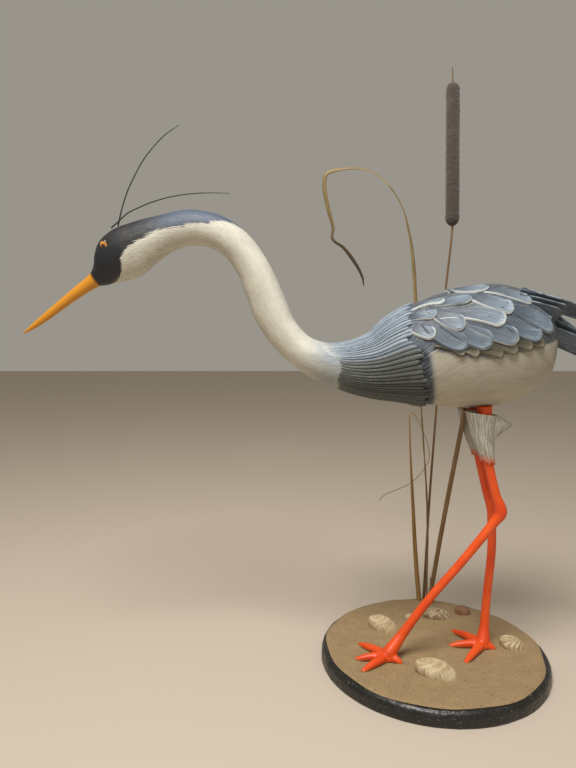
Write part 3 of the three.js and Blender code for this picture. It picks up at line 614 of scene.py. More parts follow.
def blade_part(root, tip, width, roll, seed, pale):
    """A long feather blade from root to tip with a rounded end and a shaft down its middle."""
    root, tip = np.array(root, float), np.array(tip, float)
    along = tip - root
    length = np.linalg.norm(along)
    forward = along / length
    level = np.cross((0, 0, 1), forward)
    level /= np.linalg.norm(level)
    upright = np.cross(forward, level)
    turn = radians(roll)
    across = level * np.cos(turn) + upright * np.sin(turn)
    normal = np.cross(forward, across)
    cap_start = 1 - 0.5 * width / length
    t = np.r_[np.linspace(0, cap_start, 30, endpoint=False),
              cap_start + (1 - cap_start) * np.sin(np.linspace(0, np.pi / 2, 14))]
    v = np.sin(np.linspace(-np.pi / 2, np.pi / 2, 21))
    t, v = np.meshgrid(t, v, indexing="ij")
    in_cap = np.clip((t - cap_start) / (1 - cap_start), 0, 1)
    half = width / 2 * (0.8 + 0.2 * ramp(t, 0, 0.5)) * np.sqrt(np.clip(1 - in_cap ** 2.3, 0.001, 1))
    edge = (1 - np.abs(v)) * half
    edge = np.where(in_cap > 0, np.clip((1 - np.hypot(in_cap, v * half * 2 / width)) * width / 2, 0, None), edge)
    crown = 1.3 * (1 - v ** 2) + 0.5 * np.exp(-(v / 0.08) ** 2) - 0.9 * (1 - ramp(edge, 0, 1.5))
    base = root + t[..., None] * along + (v * half)[..., None] * across
    grooves = 0.25 * np.sin(v * half * 2.4 + 6 * t)
    top = base + (BLADE_THICKNESS / 2 + crown + grooves)[..., None] * normal
    bottom = base - (BLADE_THICKNESS / 2 - 0.6 * (1 - ramp(edge, 0, 1.5)))[..., None] * normal
    shade = ramp(t, 0.1, 1.0)
    fields = {
        "paint": blend(SLATE, BLUE, pale * (1 - 0.6 * shade)),
        "light": 0.15 + 0.75 * pale + 0 * t,
        "dark": 0.6 + 0 * t,
        "light_paint": np.broadcast_to(PALE_BLUE, (*t.shape, 3)),
        "dark_paint": np.broadcast_to(NAVY, (*t.shape, 3)),
        "over": -0.6 - edge + 1.2 * pale,
        "brush": np.full(t.shape, 2.5),
        "over_paint": np.broadcast_to((0.34, 0.39, 0.43), (*t.shape, 3)),
        "grain": np.stack([t * length, v * half, np.full(t.shape, 3.0 * seed)], axis=-1),
    }
    return plate_part(top, bottom, fields)


def blade_parts():
    parts = []
    for side in (-1, 1):
        def place(point):
            return point[0], MID_Y + side * point[1], point[2]

        for i, (root, tip, width) in enumerate(WING_TIPS):
            parts.append(blade_part(place(root), place(tip), width, side * WING_TIP_ROLL, 200 + i + side, 0.35))
        for i, (root, tip, roll) in enumerate(TAIL_FEATHERS):
            if side < 0 or roll:
                parts.append(blade_part(place(root), place(tip), TAIL_WIDTH, side * roll, 220 + i + side, 0.25))
    return parts


def stream(rows, radii, sides=12, step=3.0, fields=None, seed=0, rough=0.0):
    """A round tube through places, with a radius at each of them."""
    places = np.array(rows, float)
    radii = np.array(radii, float)
    stops = stops_along(places)
    s = np.linspace(0, stops[-1], max(4, int(stops[-1] / step)))
    centre = np.stack([smooth_at(stops, places[:, k], s) for k in range(3)], axis=-1)
    radius = smooth_at(stops, radii, s)
    forward = np.gradient(centre, s, axis=0)
    forward /= np.linalg.norm(forward, axis=1)[:, None]
    across = np.zeros_like(forward)
    guide = np.array([0.0, 1.0, 0.0])
    for i, way in enumerate(forward):
        guide = guide - guide.dot(way) * way
        guide = guide / np.linalg.norm(guide)
        across[i] = guide
    other = np.cross(forward, across)
    turn = np.linspace(0, 2 * np.pi, sides, endpoint=False)
    out = across[:, None] * np.cos(turn)[None, :, None] + other[:, None] * np.sin(turn)[None, :, None]
    rings = centre[:, None] + radius[:, None, None] * out
    if rough:
        rings = rings + (rough * wobble(rings, 5, seed))[..., None] * out
    grain = np.stack([s[:, None] + 0 * turn, turn[None, :] * radius.mean() + 0 * s[:, None],
                      np.full((len(s), sides), float(seed))], axis=-1)
    values = {"grain": grain, "share": (s / stops[-1])[:, None] + 0 * turn}
    return ring_part(rings, values)


# Head plumes
UPPER_PLUME = [(-486, 3, 683), (-480, 5, 709), (-472, 7, 734), (-461, 9, 758), (-449, 11, 780),
               (-434, 13, 800), (-416.5, 15, 818.5), (-395, 17, 834)]
LOWER_PLUME = [(-494.5, -3, 679.5), (-483, -4, 689), (-470, -5, 700), (-453, -7, 708), (-430, -9, 716.5),
               (-404.5, -11, 723), (-375, -13, 727), (-350, -15, 728), (-317.5, -17, 727)]


def plume_piece(name, points):
    places = [(x, MID_Y + y, z) for x, y, z in points]
    radii = np.interp(np.arange(len(places)), [0, 1, len(places) - 2, len(places) - 1], [1.2, 1.0, 0.8, 0.5])
    part = stream(places, radii, sides=10, step=2.0, seed=3, rough=0.14)
    return mesh_piece(name, [part], plume_paint(), [name])


def plume_paint():
    paint = Paint("black plume", roughness=0.45)
    tone = paint.noise(paint.field("grain"), scale=0.5)
    paint.colour(paint.mix(tone, (0.008, 0.008, 0.009), (0.035, 0.033, 0.032)))
    return paint.material


EYE = (-499.5, 19.6, 652.6)
EYE_RADIUS = 7.5
EYE_FLATNESS = 0.6
EYE_TILT = 32
EYE_TURN = 12


def eye_part(side):
    """A flattened ball whose values give the distance from the middle of its pupil."""
    rows, sides = 26, 36
    polar = np.linspace(0.02, np.pi - 0.02, rows)[:, None]
    turn = np.linspace(0, 2 * np.pi, sides, endpoint=False)[None, :]
    ball = np.stack([np.sin(polar) * np.cos(turn), np.cos(polar) + 0 * turn, np.sin(polar) * np.sin(turn)], axis=-1)
    shaped = ball * np.array([EYE_RADIUS, EYE_RADIUS * EYE_FLATNESS, EYE_RADIUS])
    pupil = np.hypot(ball[..., 0] + 0.12, ball[..., 2] - 0.02)
    tilt, spin = radians(-side * EYE_TILT), radians(side * EYE_TURN)
    y = shaped[..., 1] * np.cos(tilt) - shaped[..., 2] * np.sin(tilt)
    z = shaped[..., 1] * np.sin(tilt) + shaped[..., 2] * np.cos(tilt)
    x = shaped[..., 0] * np.cos(spin) - y * np.sin(spin)
    y = shaped[..., 0] * np.sin(spin) + y * np.cos(spin)
    placed = np.stack([x + EYE[0], y + MID_Y + side * EYE[1], z + EYE[2]], axis=-1)
    return ring_part(placed, {"ring": pupil})


def eye_paint():
    paint = Paint("glass eye", roughness=0.12, Coat_Weight=0.6, Coat_Roughness=0.05)
    ring = paint.number("ring")
    iris = paint.mix(paint.rise(ring, 0.35, 0.8), (0.62, 0.22, 0.03), (0.80, 0.36, 0.09))
    iris = paint.mix(paint.rise(ring, 0.76, 0.92), iris, (0.02, 0.012, 0.008))
    paint.colour(paint.mix(paint.rise(ring, 0.40, 0.36), iris, (0.003, 0.003, 0.004)))
    return paint.material


# Legs: place, distance from the bird's plane, height and radius at each stop
LEG_TOP = [(61, 21.5, 416, 11.5), (63, 22, 372, 9)]
NEAR_LEG = LEG_TOP + [
    (68.8, 22, 332, 7.4), (82, 22, 280, 7.0), (90.5, 21.5, 254, 9.2), (81, 21, 238, 7.4), (33, 20, 175, 6.6),
    (-15, 18.5, 116, 6.6), (-55, 22, 63, 7.4), (-79, 31, 34, 11.5)]
FAR_LEG = LEG_TOP + [
    (68.2, 22, 334, 7.4), (79.5, 21, 284, 7.0), (91.5, 20, 247, 9.2), (91, 19.5, 228, 7.3), (91.5, 19, 177, 6.8),
    (85.5, 18.5, 98, 6.8), (82, 14, 58, 7.6), (78, 7, 34, 11.5)]
NEAR_TOES = [(-118, -2), (-129, -49), (-123, -84), (-60, -62)]
FAR_TOES = [(43, 41), (25, -8), (36, -60), (94, -20)]
LEG_VOXEL = 1.3


def leg_piece(name, rows, toes, side):
    """Shank, foot and toes, melted together and smoothed as one carving."""
    places = [(x, MID_Y + side * y, z) for x, y, z, _ in rows]
    radii = [r for *_, r in rows]
    ankle = places[-1]
    parts = [stream(places, radii, sides=28, step=2.5, rough=0.25, seed=11)]
    foot = [(ankle[0], ankle[1], ankle[2] + rise) for rise in (4, -2, -7)]
    parts.append(stream(foot, [8, 12.5, 12], sides=24, step=2))
    for i, (x, y) in enumerate(toes):
        root = (ankle[0], ankle[1], ankle[2] - 2)
        middle = (ankle[0] + 0.6 * (x - ankle[0]), ankle[1] + 0.6 * (y - ankle[1]), GROUND + 5)
        tip = (x, y, GROUND + 1.2)
        parts.append(stream([root, middle, tip], [8, 6, 3.6], sides=20, step=2, rough=0.4, seed=21 + i))
    for part in parts:
        part["fields"] = {}
    piece = mesh_piece(name, parts, leg_paint(), [name])
    remesh = piece.modifiers.new("join", "REMESH")
    remesh.mode = "VOXEL"
    remesh.voxel_size = LEG_VOXEL * MM
    remesh.use_smooth_shade = True
    smooth = piece.modifiers.new("smooth", "SMOOTH")
    smooth.factor = 0.5
    smooth.iterations = 8
    apply_modifiers(piece)
    return piece


def apply_modifiers(piece):
    """Turns the piece's modified shape into its mesh."""
    view = bpy.context.evaluated_depsgraph_get()
    shaped = bpy.data.meshes.new_from_object(piece.evaluated_get(view))
    piece.modifiers.clear()
    old = piece.data
    piece.data = shaped
    bpy.data.meshes.remove(old)


def leg_paint():
    paint = Paint("orange red paint", roughness=0.42)
    place = paint.place()
    broad = paint.noise(place, scale=28, detail=3)
    fine = paint.noise(place, scale=420, detail=2)
    low = paint.nodes.new("ShaderNodeSeparateXYZ")
    paint.put(low.inputs[0], place)
    colour = paint.mix(paint.rise(broad, 0.35, 0.7), (0.72, 0.062, 0.004), (0.80, 0.095, 0.008))
    colour = paint.mix(paint.maths("MULTIPLY", paint.rise(fine, 0.62, 0.8), 0.25), colour, (0.35, 0.03, 0.003))
    # Sand clings to the feet and covers the toe tips
    height = paint.maths("MULTIPLY", low.outputs["Z"], 1000)
    sandy = paint.maths("ADD", paint.rise(height, 33, 25.5), paint.maths("MULTIPLY", fine, 0.9))
    colour = paint.mix(paint.maths("MULTIPLY", paint.rise(sandy, 0.95, 1.35), 0.85), colour, (0.36, 0.20, 0.08))
    paint.colour(colour)
    paint.bump(paint.maths("ADD", paint.maths("MULTIPLY", fine, 0.4), broad), 0.5)
    return paint.material


# Thigh collars: thin cuffs with a flap to the rear
COLLAR_Y = 22
COLLAR_STOPS = [
    (405, 56, 23.5, 17, 2), (391, 57, 20.5, 15, 27), (368, 59.5, 17, 12.5, 0), (350, 63.5, 13.6, 12.2, 0),
    (334, 68.2, 11.2, 11, 0),
]
COLLAR_WALL = 1.6
COLLAR_TILT = 3


def collar_part(side):
    """A ragged cuff, open above, brushed thin at its lower edge."""
    table = np.array(COLLAR_STOPS, float)[::-1]
    rows, sides = 30, 96
    z = np.linspace(table[0, 0] - 2, table[-1, 0], rows)[:, None]
    turn = np.linspace(0, 2 * np.pi, sides, endpoint=False)[None, :]
    x, long, wide, flap = (np.interp(z, table[:, 0], table[:, k]) for k in (1, 2, 3, 4))
    point = np.clip(1 - np.abs(np.angle(np.exp(1j * turn))) / 0.55, 0, 1)
    folds = 0.7 * np.sin(7 * turn + z / 9) + 0.4 * np.sin(13 * turn + z / 5)
    share = (z - z[0]) / (z[-1] - z[0])
    ragged = 2.2 * np.sin(9 * turn + 1) * np.cos(4 * turn) * (1 - ramp(share, 0, 0.35))
    layers = []
    for inset in (0.0, COLLAR_WALL):
        hollow = 1.0 if inset == 0 else 0.78
        out = np.cos(turn) * (long - inset + 0.6 * folds) + flap * point * hollow
        across = np.sin(turn) * (wide - inset + 0.6 * folds)
        height = z - np.cos(turn) * COLLAR_TILT + ragged
        layers.append(np.stack([x + out, MID_Y + side * COLLAR_Y + across + 0 * height, height], axis=-1))
    rings = np.concatenate([layers[0], layers[1][::-1]], axis=0)
    along = np.concatenate([z + 0 * turn, (z + 0 * turn)[::-1]], axis=0)
    spun = np.concatenate([turn * 15 + 0 * z, (turn * 15 + 0 * z)[::-1]], axis=0)
    end = np.concatenate([share + 0 * turn, (share + 0 * turn)[::-1]], axis=0)
    grain = np.stack([along, spun, np.full(along.shape, 2.0 + side)], axis=-1)
    return tube_part(rings, {"grain": grain, "share": end})


def collar_paint():
    paint = Paint("grey cuff paint", roughness=0.65)
    grain = paint.field("grain")
    strokes = paint.noise(paint.scaled(grain, (0.05, 0.5, 1.0)), detail=3)
    fine = paint.noise(paint.scaled(grain, (0.12, 1.8, 1.0)), detail=2)
    colour = paint.mix(paint.rise(strokes, 0.3, 0.65), (0.24, 0.23, 0.19), (0.50, 0.48, 0.42))
    colour = paint.mix(paint.rise(fine, 0.55, 0.72), colour, (0.66, 0.64, 0.58))
    low = paint.maths("ADD", paint.number("share"), paint.maths("MULTIPLY", strokes, 0.5))
    colour = paint.mix(paint.maths("MULTIPLY", paint.rise(low, 0.42, 0.26), 0.8), colour, (0.62, 0.10, 0.02))
    paint.colour(colour)
    paint.bump(paint.maths("ADD", strokes, fine), 0.8)
    return paint.material


def base_piece():
    """The round base board with a hand-worn black rim."""
    profile = [(0.01, 0), (BASE_RADIUS - 3, 0), (BASE_RADIUS - 1.5, 0.4), (BASE_RADIUS, 3), (BASE_RADIUS, 9),
               (BASE_RADIUS - 0.5, 15), (BASE_RADIUS - 3, 19.5), (BASE_RADIUS - 7, BASE_HEIGHT),
               (BASE_RADIUS - 12, BASE_HEIGHT), (0.01, BASE_HEIGHT)]
    outline = []
    for (r0, z0), (r1, z1) in zip(profile, profile[1:]):
        steps = max(1, int(min(np.hypot(r1 - r0, z1 - z0) / 1.5, 12)))
        for k in range(steps):
            outline.append((r0 + (r1 - r0) * k / steps, z0 + (z1 - z0) * k / steps))
    outline.append(profile[-1])
    outline = np.array(outline)
    turn = np.linspace(0, 2 * np.pi, 420, endpoint=False)
    r, z = outline[:, :1], outline[:, 1:]
    rings = np.stack([r * np.cos(turn), r * np.sin(turn), z + 0 * turn], axis=-1)
    rough = 0.55 * wobble(rings, 6) + 0.9 * wobble(rings, 22, 3)
    proud = ramp(r, BASE_RADIUS - 20, BASE_RADIUS - 6) * ramp(z, 0.5, 4)
    out = np.stack([np.cos(turn) + 0 * r, np.sin(turn) + 0 * r, 0.5 * ramp(z, 15, 22) + 0 * turn], axis=-1)
    rings = rings + (rough * proud - 0.4 * proud)[..., None] * out
    part = ring_part(rings, {"share": z / BASE_HEIGHT + 0 * turn})
    return mesh_piece("base", [part], base_paint(), ["base"])


def base_paint():
    paint = Paint("black base paint", roughness=0.4)
    place = paint.place()
    broad = paint.noise(place, scale=30, detail=4)
    speck = paint.noise(place, scale=330, detail=2)
    dust = paint.noise(place, scale=900, detail=1)
    colour = paint.mix(broad, (0.006, 0.006, 0.006), (0.018, 0.017, 0.015))
    colour = paint.mix(paint.maths("MULTIPLY", paint.rise(speck, 0.66, 0.72), 0.5), colour, (0.30, 0.27, 0.21))
    colour = paint.mix(paint.maths("MULTIPLY", paint.rise(dust, 0.68, 0.8), 0.5), colour, (0.25, 0.20, 0.13))
    paint.colour(colour)
    paint.gloss(paint.maths("ADD", paint.maths("MULTIPLY", broad, 0.35), 0.2))
    paint.bump(paint.maths("ADD", broad, paint.maths("MULTIPLY", speck, 0.4)), 1.2)
    return paint.material


SHELLS = [
    ("clam_shell_left", -70, 54, 23, 18, 19, -20, "shell", "ribbed"),
    ("clam_shell_front", -12, -86, 29, 20, 19, -12, "shell", "ribbed"),
    ("ringed_shell_right", 126, -7, 19, 16, 16, 10, "shell", "ringed"),
    ("fan_shell_back", 33, 97, 25, 17, 13, 4, "brown_shell", "fan"),
    ("small_shell_back", -15, 86, 14, 10, 8, 25, "shell", "ringed"),
    ("brown_pebble_back", 78, 108, 14, 11, 14, 0, "brown_stone", "pebble"),
]


def sand_piece():
    """The glued sand: uneven, heaped a little at the feet, the shells and the reeds."""
    turn = np.linspace(0, 2 * np.pi, 420, endpoint=False)[None, :]
    radius = np.r_[np.linspace(0.01, 1, 135) ** 0.8 * (SAND_RADIUS - 0.5)][:, None]
    wavy = 1.0 + (0.008 * np.sin(5 * turn) + 0.006 * np.sin(11 * turn + 1)) * ramp(radius, 120, 168)
    x, y = radius * wavy * np.cos(turn), radius * wavy * np.sin(turn)
    flat = np.stack([x, y, 0 * x], axis=-1)
    z = GROUND + 0.7 * wobble(flat, 30) + 0.45 * wobble(flat, 9, 2) + 0.22 * wobble(flat, 3.2, 4)
    heaps = [(sx, sy, 0.9 * (long + wide) / 2 + 4, 2.2) for _, sx, sy, long, wide, *_ in SHELLS]
    for ankle, toes in (((-79, MID_Y - 31), NEAR_TOES), ((78, MID_Y + 7), FAR_TOES)):
        heaps.append((*ankle, 17, 1.5))
        heaps.extend((tx, ty, 8, 2.0) for tx, ty in toes)
    heaps.append((20, 156, 20, 2.5))
    for hx, hy, spread, high in heaps:
        z = z + high * np.exp(-(((x - hx) ** 2 + (y - hy) ** 2) / spread ** 2) ** 1.5)
    z = np.minimum(z, GROUND + 3.2)
    z = z - (z - BASE_HEIGHT - 0.6) * ramp(radius, SAND_RADIUS - 5, SAND_RADIUS)
    top = np.stack([x, y, z], axis=-1)
    under = np.stack([x[[-1, 0]], y[[-1, 0]], np.full((2, x.shape[1]), BASE_HEIGHT + 0.3)], axis=-1)
    rings = np.concatenate([top, under], axis=0)
    part = ring_part(rings, {"share": np.concatenate([radius + 0 * turn, (radius + 0 * turn)[[-1, 0]]], axis=0)})
    return mesh_piece("sand_bed", [part], sand_paint(), ["sand_bed"])


def sand_paint():
    paint = Paint("glued sand", roughness=0.92)
    place = paint.place()
    grains = paint.noise(place, scale=750, detail=2, roughness=0.7)
    clumps = paint.noise(place, scale=45, detail=3)
    dark = paint.noise(place, scale=420, detail=1)
    colour = paint.mix(grains, (0.17, 0.105, 0.045), (0.46, 0.33, 0.18))
    colour = paint.mix(paint.maths("MULTIPLY", paint.rise(clumps, 0.35, 0.7), 0.35), colour, (0.40, 0.28, 0.14))
    colour = paint.mix(paint.maths("MULTIPLY", paint.rise(dark, 0.64, 0.72), 0.7), colour, (0.07, 0.045, 0.025))
    paint.colour(colour)
    paint.bump(paint.maths("ADD", grains, paint.maths("MULTIPLY", dark, 0.6)), 1.1)
    return paint.material


def shell_part(x, y, long, wide, height, turn, form):
    """A shell lying hollow side down, with ribs from its hinge or growth rings round it."""
    rows, sides = 44, 132
    share = np.linspace(0, 1, rows)[:, None]
    angle = np.linspace(0, 2 * np.pi, sides, endpoint=False)[None, :]
    rise = np.sin(share * np.pi / 2) ** 0.9
    spread = np.cos(share * np.pi / 2) ** 0.75
    egg = 1 + 0.12 * np.cos(angle)
    # The dome leans towards its hinge, from which the ribs run
    lean = 0.42 * rise * (0 if form == "pebble" else 1)
    px = long * (spread * np.cos(angle) - lean)
    py = wide * spread * np.sin(angle) * egg
    pz = height * rise + 0 * angle
    reach = np.hypot(px / long + 0.55, py / wide) if form != "pebble" else 0 * px
    around = np.arctan2(py / wide, px / long + 0.55)
    relief = {
        "ribbed": 0.45 * np.sin(34 * around) + 0.5 * np.sin(reach * 15) ** 3,
        "ringed": 0.75 * np.sin(reach * 30),
        "fan": 1.0 * np.sin(16 * around) * ramp(reach, 0.2, 1.2) + 0.4 * np.sin(reach * 18),
        "pebble": 0.0 * px,
    }[form]
    place = np.stack([px, py, pz], axis=-1)
    out = np.stack([px / long ** 2, py / wide ** 2, pz / height ** 2 + 1e-6], axis=-1)
    out /= np.linalg.norm(out, axis=-1)[..., None]
    rough = 0.35 * wobble(place, 6, x) + (1.2 * wobble(place, 14, y) if form in ("pebble", "fan") else 0)
    place = place + ((relief * (1 - ramp(share, 0.9, 1)) + rough) * 0.9)[..., None] * out
    place[..., 2] = np.clip(place[..., 2], 0, None)
    spin = radians(turn)
    wx = x + place[..., 0] * np.cos(spin) - place[..., 1] * np.sin(spin)
    wy = y + place[..., 0] * np.sin(spin) + place[..., 1] * np.cos(spin)
    placed = np.stack([wx, wy, GROUND + 0.3 + place[..., 2]], axis=-1)
    grain = np.stack([reach * 20, around * 20, np.full(px.shape, float(x))], axis=-1)
    return ring_part(placed, {"grain": grain, "groove": np.clip(relief, -1, 1)})


def shell_paint(name, dark, pale, crevice_shade):
    paint = Paint(name, roughness=0.6)
    grain = paint.field("grain")
    bands = paint.noise(paint.scaled(grain, (0.35, 0.05, 1.0)), detail=3)
    fine = paint.noise(paint.scaled(grain, (0.8, 0.9, 1.0)), detail=3)
    colour = paint.mix(paint.rise(bands, 0.3, 0.7), dark, pale)
    colour = paint.mix(paint.maths("MULTIPLY", paint.rise(fine, 0.55, 0.75), 0.4), colour, dark)
    # The grooves between ribs and rings are darker: painted shade.
    colour = paint.mix(paint.maths("MULTIPLY", paint.rise(paint.number("groove"), -0.1, -0.9), 0.6), colour, crevice_shade)
    paint.colour(colour)
    paint.bump(fine, 0.5)
    return paint.material


def shell_pieces():
    # The third colour of each is the painted shade in its grooves.
    paints = {
        "shell": shell_paint("pale shell", (0.42, 0.30, 0.16), (0.62, 0.52, 0.34), (0.22, 0.14, 0.07)),
        "brown_shell": shell_paint("brown shell", (0.20, 0.12, 0.06), (0.52, 0.42, 0.27), (0.10, 0.06, 0.03)),
        "brown_stone": shell_paint("brown pebble", (0.16, 0.07, 0.03), (0.30, 0.17, 0.09), (0.08, 0.04, 0.02)),
    }
    for name, x, y, long, wide, height, turn, slot, form in SHELLS:
        part = shell_part(x, y, long, wide, height, turn, form)
        mesh_piece(name, [part], paints[slot], [name], sharp=60)


# Reeds, each as places and radii from the sand up
FOOT = 22
CATTAIL_STEM = [(21, 162, FOOT), (24, 162, 100), (28.5, 162, 218), (38, 162, 392), (50, 162, 600),
                (59.5, 162, 714), (58, 162, 850), (54.5, 162, 957), (53, 162, 983)]
CATTAIL_STEM_RADII = (2.6, 2.3, 2.1, 2.0, 1.9, 1.9, 1.6, 1.3, 0.9)
THIN_REED = [
    (12.5, 158, FOOT, 4.4), (4.5, 158, 106, 4), (-3, 158, 216, 2.9), (-9, 158, 310, 1.6), (-11.4, 158, 373, 1),
    (-10, 158.5, 379, 0.8), (-5, 160, 379, 0.7), (9, 165, 357, 0.6), (25, 171, 320, 0.6), (28.5, 172, 291, 0.6),
    (14, 164, 269, 0.6), (-8, 148, 253, 0.6), (-31, 142, 243, 0.6), (-58, 140, 232, 0.6), (-68, 140, 221, 0.5)]
THICK_REED = [(27.5, 148, FOOT), (32.6, 74, 205), (38.4, -17, 407)]
STUBS = [(31.5, 158, 1.5, 46, 1.5), (37, 153, -2.5, 27, 1.3)]
CATTAIL_HEAD_RADIUS = 12.4
CATTAIL_HEAD_START = 712
CATTAIL_HEAD_END = 957
CATTAIL_HEAD_LEAN = 1.1
LEAF_PATH = [
    (25, 154, FOOT, 4.5, 20), (23, 151, 192, 4.5, 35), (12.5, 150, 331, 5.5, 60), (7, 150, 396, 6.5, 70),
    (-0.5, 150, 490, 6.5, 35), (-6, 150, 582, 6.5, 10), (-13.5, 150, 669, 6.5, 25), (-27, 150, 729, 6.5, 60),
    (-43.5, 150, 763, 6.5, 80), (-63, 150, 786, 6.5, 85), (-88, 150, 803, 7, 75), (-115, 150, 809, 7.5, 55),
    (-146, 150, 806.5, 8, 30), (-165, 150, 799, 7.5, 20), (-169, 150, 783, 7.5, 10), (-163, 150, 745, 7, 15),
    (-153, 150, 708, 6, 28), (-154, 150, 688, 5, 48), (-134, 150, 672, 6, 40), (-113, 150, 645, 6, 20),
    (-101, 150, 622, 4, 30), (-98, 150, 606, 2, 40)]
LEAF_THICKNESS = 1.6


def leaf_part():
    """A dried leaf: a thin trough that twists along its path and narrows to a wispy end."""
    table = np.array(LEAF_PATH, float)
    stops = stops_along(table[:, :3])
    s = np.linspace(0, stops[-1], 420)
    centre = np.stack([smooth_at(stops, table[:, k], s) for k in range(3)], axis=-1)
    width = np.clip(smooth_at(stops, table[:, 3], s), 0.8, None)
    twist = np.radians(smooth_at(stops, table[:, 4], s) + 8 * np.sin(s / 33))
    forward = np.gradient(centre, s, axis=0)
    forward /= np.linalg.norm(forward, axis=1)[:, None]
    flat = np.cross((0, 1, 0), forward)
    flat /= np.linalg.norm(flat, axis=1)[:, None]
    third = np.cross(forward, flat)
    across = flat * np.cos(twist)[:, None] + third * np.sin(twist)[:, None]
    normal = np.cross(forward, across)
    v = np.linspace(-1, 1, 9)[None, :]
    edge_wave = 0.3 * np.sin(s / 7)[:, None] * v
    trough = (0.9 * v ** 2 - 0.45) * (width / 7)[:, None]
    base = centre[:, None] + (v * width[:, None] / 2)[..., None] * across[:, None]
    thick = LEAF_THICKNESS / 2 * (1 - 0.55 * v ** 2) * np.clip(width / 5, 0.3, 1)[:, None]
    top = base + (trough + thick + edge_wave)[..., None] * normal[:, None]
    bottom = base + (trough - thick + edge_wave)[..., None] * normal[:, None]
    grain = np.stack([s[:, None] + 0 * v, v * width[:, None] / 2, 0 * v + 0 * s[:, None]], axis=-1)
    return plate_part(top, bottom, {"grain": grain, "share": (s / stops[-1])[:, None] + 0 * v})


def reed_paint(name, dark, pale, tip_dark=0.0):
    """Dried stalk: long fibres, darker towards the tip where tip_dark says so."""
    paint = Paint(name, roughness=0.6)
    grain = paint.field("grain")
    fibres = paint.noise(paint.scaled(grain, (0.02, 1.6, 1.0)), detail=3)
    patches = paint.noise(paint.scaled(grain, (0.03, 0.1, 1.0)), detail=3)
    colour = paint.mix(paint.rise(fibres, 0.35, 0.65), dark, pale)
    colour = paint.mix(paint.maths("MULTIPLY", paint.rise(patches, 0.5, 0.75), 0.5), colour, dark)
    if tip_dark:
        colour = paint.mix(paint.maths("MULTIPLY", paint.rise(paint.number("share"), 0.82, 0.97), tip_dark),
                           colour, (0.035, 0.022, 0.015))
    paint.colour(colour)
    paint.bump(fibres, 0.4)
    return paint.material


def cattail_head_part():
    """The felted seed head: a long cylinder with rounded ends and a rough nap."""
    length = CATTAIL_HEAD_END - CATTAIL_HEAD_START
    rows, sides = 210, 84
    share = np.linspace(0, 1, rows)[:, None]
    turn = np.linspace(0, 2 * np.pi, sides, endpoint=False)[None, :]
    lower = np.sqrt(np.clip(1 - ((0.06 - share) / 0.06).clip(0) ** 2, 0.02, 1))
    upper = np.sqrt(np.clip(1 - ((share - 0.955) / 0.045).clip(0) ** 2, 0.02, 1))
    radius = CATTAIL_HEAD_RADIUS * np.minimum(lower, upper) * (1 - 0.03 * share) - 0.3
    column = np.stack([np.cos(turn) + 0 * share, np.sin(turn) + 0 * share, 0 * share + 0 * turn], axis=-1)
    place = radius[..., None] * column
    place[..., 2] += share * length
    nap = 0.55 * wobble(place, 4.5, 1) + 0.35 * wobble(place, 2.0, 2) + 0.4 * wobble(place, 20, 3)
    place = place + nap[..., None] * column
    lean = np.tan(radians(-CATTAIL_HEAD_LEAN))
    x = CATTAIL_HEAD_X + place[..., 0] + lean * place[..., 2]
    placed = np.stack([x, place[..., 1] + 162, CATTAIL_HEAD_START + place[..., 2]], axis=-1)
    return ring_part(placed, {"nap": nap})


CATTAIL_HEAD_X = 59.2


def cattail_paint():
    paint = Paint("cattail felt", roughness=0.95, Sheen_Weight=0.3, Sheen_Roughness=0.5)
    place = paint.place()
    fuzz = paint.noise(place, scale=520, detail=3, roughness=0.7)
    patch = paint.noise(place, scale=60, detail=3)
    colour = paint.mix(fuzz, (0.018, 0.012, 0.010), (0.095, 0.075, 0.062))
    colour = paint.mix(paint.maths("MULTIPLY", paint.rise(patch, 0.5, 0.75), 0.4), colour, (0.11, 0.095, 0.085))
    paint.colour(colour)
    paint.bump(fuzz, 1.0)
    return paint.material


def reed_pieces():
    gold = reed_paint("golden reed", (0.22, 0.12, 0.035), (0.42, 0.26, 0.09))
    straw = reed_paint("straw", (0.14, 0.085, 0.035), (0.30, 0.20, 0.09))
    brown = reed_paint("brown stalk", (0.10, 0.05, 0.022), (0.24, 0.14, 0.065))
    leaf = reed_paint("dried leaf", (0.13, 0.08, 0.03), (0.33, 0.24, 0.10), tip_dark=0.9)
    stem = stream(CATTAIL_STEM, CATTAIL_STEM_RADII, sides=14, step=4, seed=31, rough=0.12)
    mesh_piece("cattail_stem", [stem], brown, ["cattail_stem"])
    thin = stream([row[:3] for row in THIN_REED], [row[3] for row in THIN_REED], sides=14, step=3, seed=32, rough=0.1)
    mesh_piece("thin_reed", [thin], gold, ["thin_reed"])
    thick = stream(THICK_REED, (4.0, 3.9, 3.6), sides=18, step=3, seed=33, rough=0.3)
    mesh_piece("thick_reed", [thick], straw, ["thick_reed"])
    mesh_piece("bent_leaf", [leaf_part()], leaf, ["bent_leaf"], sharp=60)
    mesh_piece("cattail_head", [cattail_head_part()], cattail_paint(), ["cattail_head"])
    for i, (x, y, lean, height, r) in enumerate(STUBS):
        name = f"reed_stub_{i + 1}"
        stub = stream([(x, y, FOOT), (x + lean / 2, y, FOOT + height / 2), (x + lean, y, FOOT + height + 3)],
                      (r * 1.2, r, r * 0.8), sides=12, step=2, seed=34 + i, rough=0.2)
        mesh_piece(name, [stub], brown, [name])


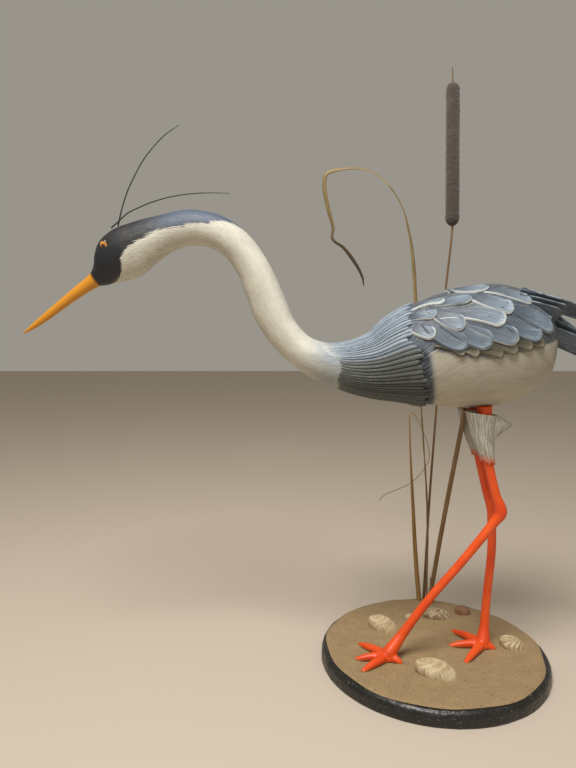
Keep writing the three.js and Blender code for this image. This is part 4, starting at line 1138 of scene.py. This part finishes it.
def heron_pieces():
    plumage = plumage_paint()
    mesh_piece("heron_body", [fill(body_part(), PLUMAGE_FIELDS)], plumage, ["heron_figure"])
    mesh_piece("cape", [cape_part()], plumage, ["heron_figure"], sharp=60)
    mesh_piece("wing_feathers", wing_parts(), plumage, ["heron_figure"], sharp=60)
    mesh_piece("wing_tips_and_tail", blade_parts(), plumage, ["heron_figure"], sharp=50)
    glass = eye_paint()
    cuff = collar_paint()
    for word, side in (("left", -1), ("right", 1)):
        mesh_piece(f"eye_{word}", [eye_part(side)], glass, [f"eye_{word}"])
        mesh_piece(f"thigh_collar_{word}", [collar_part(side)], cuff, [f"thigh_collar_{word}"])
    plume_piece("plume_upper", UPPER_PLUME)
    plume_piece("plume_lower", LOWER_PLUME)
    leg_piece("leg_left", NEAR_LEG, NEAR_TOES, -1)
    leg_piece("leg_right", FAR_LEG, FAR_TOES, 1)


# Stage: floor, light and camera
def stage():
    scene = bpy.context.scene
    bpy.ops.mesh.primitive_plane_add(size=14)
    floor = bpy.context.object
    floor.name = "floor"
    paint = Paint("pale floor", roughness=0.85)
    paint.colour((0.56, 0.48, 0.40))
    floor.data.materials.append(paint.material)
    lamp = bpy.data.lights.new("soft box", "AREA")
    lamp.shape = "DISK"
    lamp.size = 1.1
    lamp.energy = 62
    lamp.color = (1.0, 0.97, 0.92)
    soft_box = bpy.data.objects.new("soft box", lamp)
    soft_box.location = (-0.5, -1.0, 2.3)
    aim = Vector((0.0, 0.0, 0.45)) - soft_box.location
    soft_box.rotation_euler = aim.to_track_quat("-Z", "Y").to_euler()
    scene.collection.objects.link(soft_box)
    world = bpy.data.worlds.new("studio")
    world.use_nodes = True
    background = world.node_tree.nodes["Background"]
    background.inputs["Color"].default_value = (0.40, 0.375, 0.325, 1)
    background.inputs["Strength"].default_value = 0.8
    scene.world = world
    lens = bpy.data.cameras.new("camera")
    lens.lens = 29.06
    lens.sensor_width = 36
    camera = bpy.data.objects.new("camera", lens)
    camera.location = (-0.232, -0.957, 0.529)
    camera.rotation_euler = (radians(85), 0, 0)
    scene.collection.objects.link(camera)
    scene.camera = camera
    scene.view_settings.view_transform = "Standard"


stage()
base_piece()
sand_piece()
shell_pieces()
reed_pieces()
heron_pieces()
